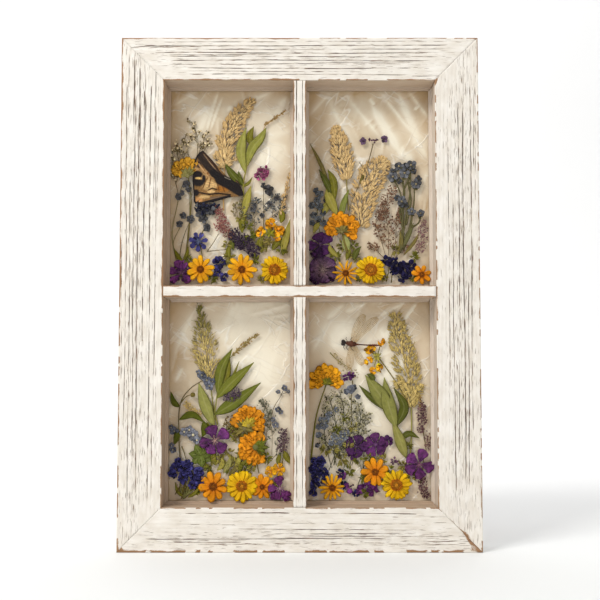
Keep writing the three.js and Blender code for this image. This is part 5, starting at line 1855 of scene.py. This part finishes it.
# %% Lower left: plume and leaves
here = "lower_left"
ripe, unripe = paint(234, 218, 152), paint(118, 124, 42)
glue(here, "grain_plume", "straw", [
    plume(
        [(35, 96), (33, 109), (31.5, 121), (29, 136), (26, 157)], 22, 0, 320, 4.2, 0.7, ripe,
        paint(150, 136, 66), 0.95, 170, unripe, 1.15,
    ),
    stem([(41, 62), (37, 80), (35, 102)], 0, 1.3, paint(150, 148, 72)),
    specks(
        [(20, 73, 4.5), (25, 70, 4), (17, 78, 2.5)], 0.4, paint(190, 168, 104), paint(228, 210, 150),
        each=34, size=0.85,
    ),
])
glue(here, "willow_sprig", "leaf", [
    leaf([(41, 86), (44, 106), (52.5, 122)], 8, 1.4, paint(106, 116, 34)),
    leaf([(42, 86), (48, 102), (50.5, 114)], 6.5, 1),
    leaf([(40.5, 83), (53, 96), (69.5, 111)], 9, 1.2, paint(116, 126, 40)),
    leaf([(39, 70), (55, 80), (75, 95)], 10, 1.5, paint(102, 114, 30)),
    leaf([(38, 61), (31, 79), (26, 95)], 9.5, 1.2, paint(144, 150, 84)),
    leaf([(49, 92), (54, 102), (58, 112)], 1.8, 1), leaf([(46, 92), (52, 99), (56, 106)], 1.6, 1),
    stem([(38, 56), (39, 72), (41.5, 92)], 1, 1.6, paint(150, 152, 80)),
])

# %% Lower left: the leafy stem and other blue flowers
LIGHT_BLUE = paint(130, 144, 184)
glue(here, "leafy_forget_me_not", "blue_floret", [
    stem([(12, 34), (10.5, 56), (11.5, 78), (19, 90), (31, 98)], 2, 1.2, paint(112, 104, 78), 30),
    stem([(12, 79), (16, 84), (21.5, 86)], 2, 0.9, OLIVE, 6),
    stem([(13, 45), (15, 40), (17, 33)], 2, 0.9, OLIVE, 6),
    leaf([(11, 76), (6.5, 80), (4, 88)], 4.6, 2, DEEP_GREEN),
    leaf([(11, 66), (21, 70), (31.5, 63.5)], 5.4, 2.2, DEEP_GREEN),
    leaf([(30, 65), (31, 58), (29, 52)], 5.6, 2, DEEP_GREEN),
    leaf([(10.5, 58), (9, 52), (7, 46)], 5, 2, DEEP_GREEN),
    balls([[21.5, 85.5, level(2) + 0.9]], 2.0, OLIVE, 10, 5, 0.7),
    florets([
        (28.5, 101, 4.2), (32.5, 97, 4.4), (34.5, 92.5, 4), (26, 103, 2.6), (37, 96, 3),
    ], 2.2, paint(100, 114, 152), eye=paint(150, 150, 140)),
    florets([
        (15, 56.5, 4.4), (22, 54, 6), (19, 58, 4), (25, 50, 4),
    ], 2.3, LIGHT_BLUE, eye=paint(214, 210, 180)),
    florets([
        (7, 57, 4), (4.6, 60, 2.6), (6.2, 42.5, 3.6), (5, 46, 2.6),
    ], 2.1, paint(94, 106, 142), eye=paint(150, 150, 140)),
])

thin_bud = paint(92, 98, 88)
glue(here, "thin_forget_me_not", "blue_floret", [
    spray([(78, 40), (80, 56), (82, 72)], 0.5, bud=thin_bud, size=0.7, reach=7),
    spray([(84, 38), (84, 56), (80, 74), (76, 80)], 0.5, bud=thin_bud, size=0.75, reach=8),
    spray([(72, 36), (76, 50), (74, 62)], 0.5, bud=thin_bud, size=0.7, reach=7),
    spray([(80, 30), (88, 40), (88, 50)], 0.5, bud=thin_bud, size=0.7, reach=6),
    florets([
        (94, 91, 3.1), (89, 88, 2.3), (97, 88, 2), (89, 74, 3.1), (87, 62, 3.1), (91, 72, 2.4),
        (85, 66, 2.4),
    ], 0.8, paint(108, 122, 158), eye=paint(170, 170, 150)),
    specks([(78, 77, 5.5), (81, 72, 4)], 0.5, paint(96, 104, 88), paint(176, 184, 170), each=22, size=0.6),
    stem([(82, 58), (85, 74), (92, 86)], 0.6, 0.7, TWIG, 18), stem([(91, 85), (94, 91)], 0.6, 0.5, TWIG, 4),
    stem([(92, 86), (97, 88)], 0.6, 0.5, TWIG, 4),
])

glue(here, "dark_statice", "dark_floret", [
    specks(
        [(52, 84, 4.4), (56, 87, 4.6), (48, 83, 3)], 2.4, paint(48, 34, 62), paint(124, 108, 140), each=44,
        size=0.75,
    ),
    specks(
        [(93, 56, 3.8), (93, 50, 4.6), (92, 44, 4.4)], 0.9, paint(64, 46, 66), paint(134, 116, 136),
        each=40,
    ),
    specks(
        [(48, 62, 3), (52, 58, 4), (57, 54, 4), (50, 66, 3.5)], 0.9, paint(84, 62, 50), paint(150, 140, 90),
        each=22,
    ),
])
glue(here, "seed_spike", "straw", [
    plume([(53, 117), (63, 126), (73, 134)], 4.4, 0.5, 70, 2.8, 0.5, paint(170, 156, 96)),
    stem([(48, 112), (53, 117), (63, 126)], 0.5, 0.7, paint(150, 150, 84), 8),
])
glue(here, "foliage", "leaf", [
    leaf([(93, 42), (96, 36), (99, 31)], 4.6, 0.8), leaf([(91, 40), (89, 34), (90, 30)], 3.6, 0.8),
    leaf([(46, 24), (50, 31), (52, 38)], 4.4, 1.0, paint(150, 150, 90)),
    leaf([(50, 22), (56, 28), (62, 30)], 3.6, 1.0, OLIVE), leaf([(40, 30), (38, 36), (40, 42)], 4.4, 1.0),
    leaf([(41, 26), (45, 31), (44, 38)], 3.8, 1.0, PALE_GREEN),
    leaf([(58, 22), (60, 30), (66, 36)], 3.4, 1.0),
    leaf([(54, 26), (58, 34), (57, 40)], 3.6, 1.0, PALE_GREEN),
    stem([(92, 30), (93, 38), (93, 52)], 0.8, 0.9, OLIVE, 8),
    [
        stem([
            (15 + 0.4 * i, 4 + 0.5 * i), (12 + 3 * i, 14), (13 + 3 * i, 24),
        ], 2.2, 1.5, paint(120, 124, 76), 8)
        for i in range(5)
    ],
    leaf([(15, 5), (10, 10), (8, 17)], 2.4, 2.2), leaf([(18, 5), (24, 9), (28, 15)], 2.6, 2.2),
])

# %% Lower left: marigolds, geranium and the foot of the pane
undergrowth(here, [
    (48, 28, 5), (55, 32, 6), (62, 29, 5), (68, 27, 5), (49, 56, 5), (57, 52, 5.4), (80, 36, 5),
    (50, 40, 4.6), (34, 27, 4.4), (85, 14, 5), (24, 12, 5), (17, 10, 5), (56, 58, 5.4), (60, 40, 5),
    (66, 52, 5), (62, 46, 5), (70, 34, 4.6), (44, 34, 5), (33, 60, 4.4), (36, 34, 4.4),
])
glue(here, "marigold_upper", "orange_petal", frilled_fan((65, 62.5), 15.5, -0.16, 1.04, 1.6))
glue(here, "marigold_upper", "leaf", [
    green_cup((62.5, 59), 9.5, -0.3, 1.25, 1.8, OLIVE * 0.85),
    green_cup((65.5, 61.5), 8.5, 0.05, 0.95, 2.3, paint(166, 150, 40)),
])
glue(here, "marigold_lower", "orange_petal", frilled_fan((70.5, 43.5), 15.0, 0.25, 1.72, 2))
glue(here, "marigold_lower", "leaf", [
    green_cup((71.5, 44.5), 11.0, -0.25, 0.42, 2.6, DEEP_GREEN * 1.2),
    stem([(74, 24), (72, 34), (73, 45)], 2.4, 1.0, OLIVE),
])
glue(here, "purple_geranium", "purple_petal", [
    round_flower(
        (39.5, 50), 13, 3, PURPLE, VIOLET, [0.09, 0.31, 0.53, 0.68, 0.86], width=0.44,
        throat=paint(206, 176, 176),
    )
])
angles = np.linspace(0.2, 2 * np.pi - 0.5, 7)
spokes = []
for i, angle in enumerate(angles):
    way = np.array([np.cos(angle), np.sin(angle)])
    hub = np.array([28, 38])
    spokes.append(
        leaf([hub, hub + 5 * way, hub + 9.6 * way], 6.4, 1.2 + 0.1 * (i % 3), paint(94, 112, 40), lift=0.7)
    )
glue(here, "lobed_leaf", "leaf", spokes + [stem([(30, 34), (34, 28), (37, 22)], 1, 1.6)])
knot_spots = [
    (9, 28, 5.4), (16, 27, 7), (23, 23, 6.4), (6, 24, 4.6), (28, 18, 4.6), (14, 20, 5), (18, 31, 4.6),
    (10, 33, 4), (27, 25, 4.6), (22, 15, 4.4), (30, 13, 3.4),
]
glue(here, "larkspur", "indigo_petal", [
    knots(knot_spots, 3, INDIGO, ROYAL * 1.3, petals=17),
    knots(knot_spots, 2.4, INDIGO * 0.7, INDIGO * 1.6, petals=9),
    stem([(16, 24), (12, 14), (8, 7.5)], 3, 1.2, OLIVE), stem([(17, 22), (15, 12), (13, 4)], 3, 1.2, OLIVE),
])
glue(here, "gold_daisy", "golden_petal", daisy((38, 13.8), 12.4, 9, 3.4, 4, width=1.08, **ORANGE))
glue(here, "yellow_daisy", "yellow_petal", daisy((60.4, 14.2), 13.4, 13, 4.4, 3.4, **YELLOW))
glue(here, "orange_daisy", "golden_petal", daisy((76.5, 13.4), 10.4, 9, 2.2, 2, width=1.05, **ORANGE))
glue(here, "violet", "purple_petal", [
    round_flower(
        (90.5, 12.5), 10.2, 3, VIOLET * 1.1, VIOLET * 1.3, [0.27, 0.5, 0.68, 0.86], width=0.44,
        throat=paint(196, 170, 200),
    ),
    knots([(87.5, 7, 5.4), (95, 6, 5)], 2.4, PURPLE, VIOLET, petals=8, width=0.46),
])
GOLD_PAIR = [paint(222, 146, 12), paint(242, 192, 34)]
glue(here, "small_gold", "golden_petal", [
    round_flower((83, 25.2), 5.2, 1.4, *GOLD_PAIR, width=0.46),
    round_flower((89.5, 27), 5.6, 1.2, *GOLD_PAIR, width=0.46),
])

# %% [markdown]
# ## Lower right pane: the dragonfly
# Its body is a string of segments that narrow and swell along the tail. The wings are clear
# membranes that hardly show, with thin veins. Each wing is a see-through blade with vein
# lines over it: one along the front edge, some along the wing, and many short cross veins.

# %% Dragonfly
def clear_membrane():
    finish = Finish("clear_membrane")
    body = finish.body()
    cloud = finish.noise(body, 500.0, 3.0)
    finish.set(Base_Color=finish.mix(cloud, paint(236, 224, 192), paint(206, 186, 144)), Roughness=0.25)
    finish.set(Alpha=finish.plus(finish.times(cloud, 0.1), 0.01))
    return finish.material


def wing_lines(points, half_widths, layer):
    """A wing's blade, and its veins as shares of the width along and across the blade."""
    line = route(points, 24)
    s = shares(24)
    half = np.interp(s, [0, 0.25, 0.6, 0.85, 1], half_widths)
    tangent = unit(np.gradient(line, axis=0))
    side = np.stack([-tangent[:, 1], tangent[:, 0]], -1)
    forward = level(layer) + 0.6 + 0.2 * np.sin(3 * s)
    sheet = blades(np.column_stack([line, forward])[None], half, (1, 1, 1), thick=0.12, across=5, seed=1)
    rows = np.linspace(-0.96, 0.96, 6)
    long_veins = [np.column_stack([line + side * (half * r)[:, None], forward + 0.12]) for r in rows]
    at = np.linspace(2, 22, 26)
    low, high = np.floor(at).astype(int), np.linspace(0, 1, 26) % 0.4
    start = line[low] + side[low] * (half[low] * (high * 2 - 0.96))[:, None]
    stop = line[low] + side[low] * (half[low] * (high * 2 - 0.3))[:, None]
    cross = np.stack([start, stop], 1)
    cross = np.concatenate([cross, np.repeat(forward[low] + 0.12, 2).reshape(-1, 2, 1)], -1)
    vein = paint(186, 160, 112)
    veins = [
        blades(long_veins, 0.13, vein, thick=0.12, across=3, seed=2),
        blades(cross, 0.1, vein, thick=0.1, across=3, seed=3),
    ]
    return sheet, veins


here = "lower_right"
wings = [
    ([(36, 127), (40, 138), (46.5, 149)], [0.7, 1.9, 3.2, 3.2, 1.2]),
    ([(38, 126), (46, 137), (57, 146.5)], [0.7, 2.0, 3.4, 3.2, 1.2]),
    ([(36, 126), (35, 116), (34.5, 106)], [0.7, 1.9, 3.0, 2.8, 1.0]),
    ([(38, 126), (41, 117), (45, 109)], [0.7, 1.9, 3.0, 2.8, 1.0]),
]
made = [wing_lines(points, widths, 2) for points, widths in wings]
rest = level(2) + 1.0
BROWN, RUST = paint(58, 34, 28), paint(104, 58, 42)
tail = route([(40, 125.4), (48, 124.9), (57.5, 124.6)], 13)
swell = np.array([1.0, 0.72, 0.6, 0.55, 0.55, 0.6, 0.62, 0.66, 0.78, 0.92, 1.0, 0.9, 0.6])
tail = np.column_stack([tail, np.full(len(tail), rest)])
chest = [(34.2, 126.1, 2.0), (36.0, 125.8, 2.5), (38.0, 125.6, 2.1), (32.6, 126.6, 1.5)]
eyes = [(29.6, 127.6, 1.7), (29.2, 125.8, 1.6), (30.6, 126.8, 1.5)]
legs = np.array([
    [(31, 125.5), (29.6, 123.4), (30.4, 121.6)], [(33, 125), (32, 122.6), (33.4, 120.8)],
    [(35.5, 124.4), (35.8, 121.8), (37.6, 120.6)], [(36, 127.6), (35.4, 129.6), (36.6, 131)],
    [(33, 127.8), (31.6, 129.8), (32, 131)],
])
legs = np.concatenate([legs, np.full((5, 3, 1), rest)], -1)


def body_balls(spots, colour, squash, seed):
    """Balls at rest height, one for each (right, up, radius)."""
    right, up, radii = np.array(spots).T
    centres = np.column_stack([right, up, np.full(len(spots), rest)])
    return balls(centres, radii, colour, 10, 6, squash, seed=seed)


glue(here, "dragonfly", "dragonfly", [
    balls(tail, swell * 1.05, RUST, 8, 4, vary=0.25, seed=4),
    blades(tail[None], swell * 0.8, BROWN, thick=1.2, across=5, cup=-0.3, seed=5),
    body_balls(chest, paint(84, 50, 40), 0.75, 6),
    body_balls(eyes, paint(44, 40, 42), 0.8, 7),
    blades(legs, 0.2, BROWN, thick=0.3, across=3, seed=8),
    [veins for _, veins in made],
])
clear = in_pane(here, [sheet for sheet, _ in made])
piece("lower_right_dragonfly_wings", clear, clear_membrane(), ("lower_right_dragonfly",))

# %% [markdown]
# ## Lower right pane: the plants
# The fine twigs at the left are the umbels of a wild carrot and more gypsophila. They are
# only thin lines and specks, but they fill a third of the pane.

# %% Lower right: plume, leaves and stems
RIPE, DRY = paint(226, 208, 142), paint(162, 146, 82)
glue(here, "grain_plume", "straw", [
    plume(
        [(83, 77), (82, 97), (78, 114), (74, 131), (71, 151)], 21, 0, 460, 4.2, 0.8, RIPE, DRY, 0.9, 150,
        None, 0.5,
    ),
    plume([(82, 88), (76, 92), (70, 97)], 9, 0, 70, 3.6, 0.85, RIPE * 1.06, DRY * 1.2, awns=20),
    plume([(83, 82), (88, 87), (92, 94)], 8, 0, 60, 3.6, 0.85, RIPE * 1.06, DRY * 1.2, awns=20),
    stem([(82, 34), (83.5, 58), (83, 84), (81, 100)], 0, 1.5, paint(150, 150, 80)),
])
OFF_GREEN = paint(132, 138, 74)
glue(here, "willow_sprig", "leaf", [
    leaf([(68, 71), (52, 83), (42, 93)], 5, 1, DEEP_GREEN),
    leaf([(68, 71), (58, 86), (47, 101)], 12.5, 1.2, OFF_GREEN),
    leaf([(71, 60), (65, 79), (62, 99)], 11, 1.5, OFF_GREEN),
    leaf([(71.5, 61), (77.5, 76), (69.5, 91)], 7.4, 1, DEEP_GREEN),
    leaf([(79, 36), (74, 50), (68, 66)], 8.4, 1.3, paint(138, 140, 78)),
    leaf([(74, 50), (81, 55), (89.5, 51.5)], 4.8, 1.5, DEEP_GREEN),
    leaf([(54, 96), (52, 100), (48, 102)], 4.4, 1.6, DEEP_GREEN),
    leaf([(68, 70), (62, 76), (58, 80)], 3, 1.5, DEEP_GREEN),
    stem([(79, 38), (75, 52), (68, 73)], 1, 1.6, OFF_GREEN),
])
glue(
    here, "marigold", "orange_petal",
    frilled_fan((15.5, 96), 15, -0.1, 1.2, 1, root=paint(230, 146, 16), tip=paint(246, 182, 30)),
)
glue(here, "marigold", "leaf", [
    green_cup((16.8, 94.5), 6.0, -0.1, 1.1, 1.6, GREEN),
    stem([(3.8, 34), (8, 68), (16, 94)], 1, 1.5, GREEN, 24),
])
trefoil = [
    (50, 120.5, 4.2), (59.5, 126.5, 4), (49.5, 112.5, 4), (53, 104.5, 3.6), (58.5, 106.5, 4),
    (53, 122.5, 3),
]
glue(here, "orange_trefoil", "orange_petal", [
    knots(trefoil, 1.2, paint(236, 150, 10), paint(250, 186, 34), petals=9, width=0.56, tilt=0.3, tall=0.5)
])
glue(here, "orange_trefoil", "leaf", [
    [stem([(56.5, 116), (x, y)], 1, 0.9, GREEN, 5) for x, y, _ in trefoil],
    green_cup((56.5, 115.5), 4.4, -1, 1, 1.2, PALE_GREEN),
    stem([(57, 116), (71, 96), (81, 79)], 1, 1.0, OLIVE, 20),
])

# %% Lower right: umbels, sprays and violets
roots = [
    [(22, 30), (24, 52), (22, 70), (18, 84)], [(22, 30), (28, 54), (30, 72), (27, 86)],
    [(30, 28), (34, 50), (36, 66), (36, 82)], [(34, 28), (40, 50), (43, 66), (41, 80)],
    [(36, 30), (44, 56), (48, 70)], [(20, 28), (16, 46), (14, 62), (15, 76)],
    [(24, 30), (20, 44), (12, 52)], [(26, 30), (30, 44), (33, 56), (39, 60)],
    [(18, 26), (24, 40), (33, 46)], [(40, 12), (46, 30), (50, 44)],
]
umbel = dict(bud=paint(60, 62, 44), pale=paint(166, 166, 140), size=0.74, reach=9.5, angle=0.9, width=0.44)
glue(here, "umbels", "dark_floret", [
    [spray(points, 0.5, paint(74, 78, 50), **umbel) for points in roots],
    specks([
        (21, 86, 4), (27, 79, 4.4), (41, 76, 3.6), (48, 69, 3), (34, 69, 4), (16, 78, 3.6), (13, 64, 3),
        (23, 52, 4), (30, 38, 4), (44, 61, 3),
    ], 0.7, paint(84, 86, 66), paint(214, 212, 190), each=20, size=0.72),
    specks(
        [(33, 106, 4), (27, 112, 3), (23, 117, 2), (38, 102, 4)], 0.4, paint(150, 138, 92),
        paint(206, 194, 148), each=16, size=0.7,
    ),
    stem([(19, 119), (25, 113), (34, 107)], 0.4, 0.8, paint(140, 134, 82), 8),
])
glue(here, "blue_sprays", "blue_floret", [
    florets([(35, 90, 4.2), (32, 88, 3), (38, 91, 3)], 0.9, paint(106, 120, 156), eye=paint(120, 130, 150)),
    florets([
        (16, 66, 3.4), (10, 60, 3), (29, 55, 3.4), (20, 48, 3), (14, 61, 4), (10, 54, 3.4), (27, 51, 4.2),
        (22, 53, 3.4), (31, 52, 3), (18, 70, 3.4), (24, 74, 2.8), (12, 66, 3),
    ], 0.9, paint(112, 128, 162), eye=paint(120, 130, 150)),
    florets([
        (26, 47, 3), (32, 56, 2.6), (9, 46, 2.6), (41, 84, 2.6),
    ], 0.9, paint(96, 108, 138), eye=paint(110, 120, 140)),
])
glue(here, "small_violets", "purple_petal", [
    knots([(34, 100, 4.6), (31, 99, 3), (37, 101, 3)], 0.9, PLUM, VIOLET * 0.8, petals=11),
    stem([(37, 97), (36, 84), (36, 69)], 0.8, 0.8, OLIVE),
    knots(
        [(69, 34, 3.8), (72, 32, 2.6)], 0.9, paint(72, 44, 84), paint(128, 92, 132), petals=7, width=0.26,
    ),
    knots([
        (34, 13, 6), (43, 11, 5.4), (53, 11, 6), (28, 22, 4.4), (48, 14, 4.6),
    ], 1.2, VIOLET, PURPLE * 1.2, petals=8, width=0.48),
    knots([(27, 24, 4.4), (30, 15, 4), (39, 8, 3.4)], 1.4, INDIGO * 0.8, INDIGO * 1.4, petals=11),
])
glue(here, "lavender", "dark_floret", [
    specks([
        (92, 77, 3.4), (91.5, 71, 4.6), (92, 65, 4.4), (91, 58, 3.4),
    ], 0.8, paint(70, 46, 66), paint(140, 108, 120), each=34),
    specks([(96, 52, 2.8), (96, 46, 3)], 0.8, paint(86, 58, 72), paint(150, 118, 120), each=24),
    specks(
        [(91, 19, 3.4), (92, 12, 4.4), (94, 7, 3.4)], 0.8, paint(66, 40, 62), paint(140, 104, 120), each=34,
    ),
    stem([(92, 60), (94, 48), (95, 40)], 0.7, 0.9, OLIVE, 8),
    stem([(90, 16), (92, 26), (93, 40)], 0.7, 0.9, OLIVE, 8),
    plume([(90, 76), (91, 80), (90, 84)], 3, 0.6, 14, 2.4, 0.5, paint(170, 150, 96)),
])
glue(here, "violets", "purple_petal", [
    round_flower((39.5, 45), 9.6, 1.3, PLUM, PURPLE), round_flower((55, 46.5), 10.4, 1, PURPLE, VIOLET),
    knots([(64.5, 49, 5.6)], 1, PLUM, PURPLE, petals=7, width=0.42),
    knots([(47, 44, 4.4), (36, 38, 4.4)], 0.9, PLUM, PURPLE, petals=8),
    stem([(44, 14), (45, 30), (46, 45)], 1, 1.0, OLIVE),
])

# %% Lower right: the foot of the pane
undergrowth(here, [
    (34, 26, 5), (28, 35, 6), (40, 36, 5), (60, 35, 5), (66, 27, 4), (83, 22, 5), (46, 20, 4.4),
    (22, 43, 5), (80, 45, 4.4), (15, 42, 4.6), (46, 8, 4.4), (34, 44, 5), (50, 36, 4.6), (76, 30, 4.6),
    (24, 58, 4.4), (37, 60, 4.4), (31, 68, 4),
])
glue(here, "purple_geranium", "purple_petal", [
    round_flower(
        (89, 31.2), 12.4, 3, PURPLE, VIOLET, [-0.02, 0.22, 0.4, 0.58, 0.76], width=0.42,
        throat=paint(150, 110, 140),
    )
])
glue(here, "orange_daisy", "golden_petal", daisy((54.4, 25), 12.0, 9, 2.8, 2, **ORANGE))
glue(here, "yellow_daisy", "yellow_petal", daisy((71, 15), 13.0, 14, 4.8, 3, width=0.95, **YELLOW))
glue(here, "gold_daisy", "golden_petal", daisy((20.6, 12.8), 11.2, 13, 2.8, 3, width=0.8, **GOLD))
knot_spots = [
    (9, 30, 5.8), (7.6, 22, 5), (14, 25, 5.4), (7.2, 15, 5), (12, 34, 4.4), (5.6, 9, 4), (15, 18, 4.2),
    (6, 34, 3.6), (4.6, 27, 3.6),
]
glue(here, "larkspur", "indigo_petal", [
    knots(knot_spots, 2, INDIGO, ROYAL * 1.1, petals=15),
    knots(knot_spots, 1.5, INDIGO * 0.7, INDIGO * 1.4, petals=9),
])

# %% [markdown]
# ## The hidden back
# Behind the sheets lies a hardboard back, brown and faintly mottled, held by bright steel
# tabs pushed into the boards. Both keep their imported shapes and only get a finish.

# %% Hardboard and steel
def hardboard():
    finish = Finish("hardboard_back")
    place = finish.body()
    fibre = finish.noise(place, 900.0, 4.0)
    cloud = finish.noise(place, 22.0, 3.0)
    colour = finish.mix(fibre, paint(96, 66, 42), paint(150, 112, 76))
    colour = finish.mix(finish.ramp(cloud, 0.3, 0.7), colour, paint(128, 92, 60))
    finish.set(Base_Color=colour, Roughness=0.7)
    finish.bump(fibre, 0.0002, 0.5)
    return finish.material


def bright_steel():
    finish = Finish("bright_steel")
    place = finish.body()
    lines = finish.noise(place, 400.0, 2.0, (1.0, 1.0, 30.0))
    colour = finish.mix(lines, paint(150, 152, 154), paint(196, 198, 200))
    finish.set(Base_Color=colour, Metallic=1.0, Roughness=0.35)
    return finish.material


def refinish(node, material):
    """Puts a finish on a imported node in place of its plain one."""
    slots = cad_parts[node].material_slots
    slots[0].material = material


refinish("back_board", hardboard())
steel = bright_steel()
for side in ("top", "bottom", "left", "right"):
    refinish(f"framers_point_{side}", steel)
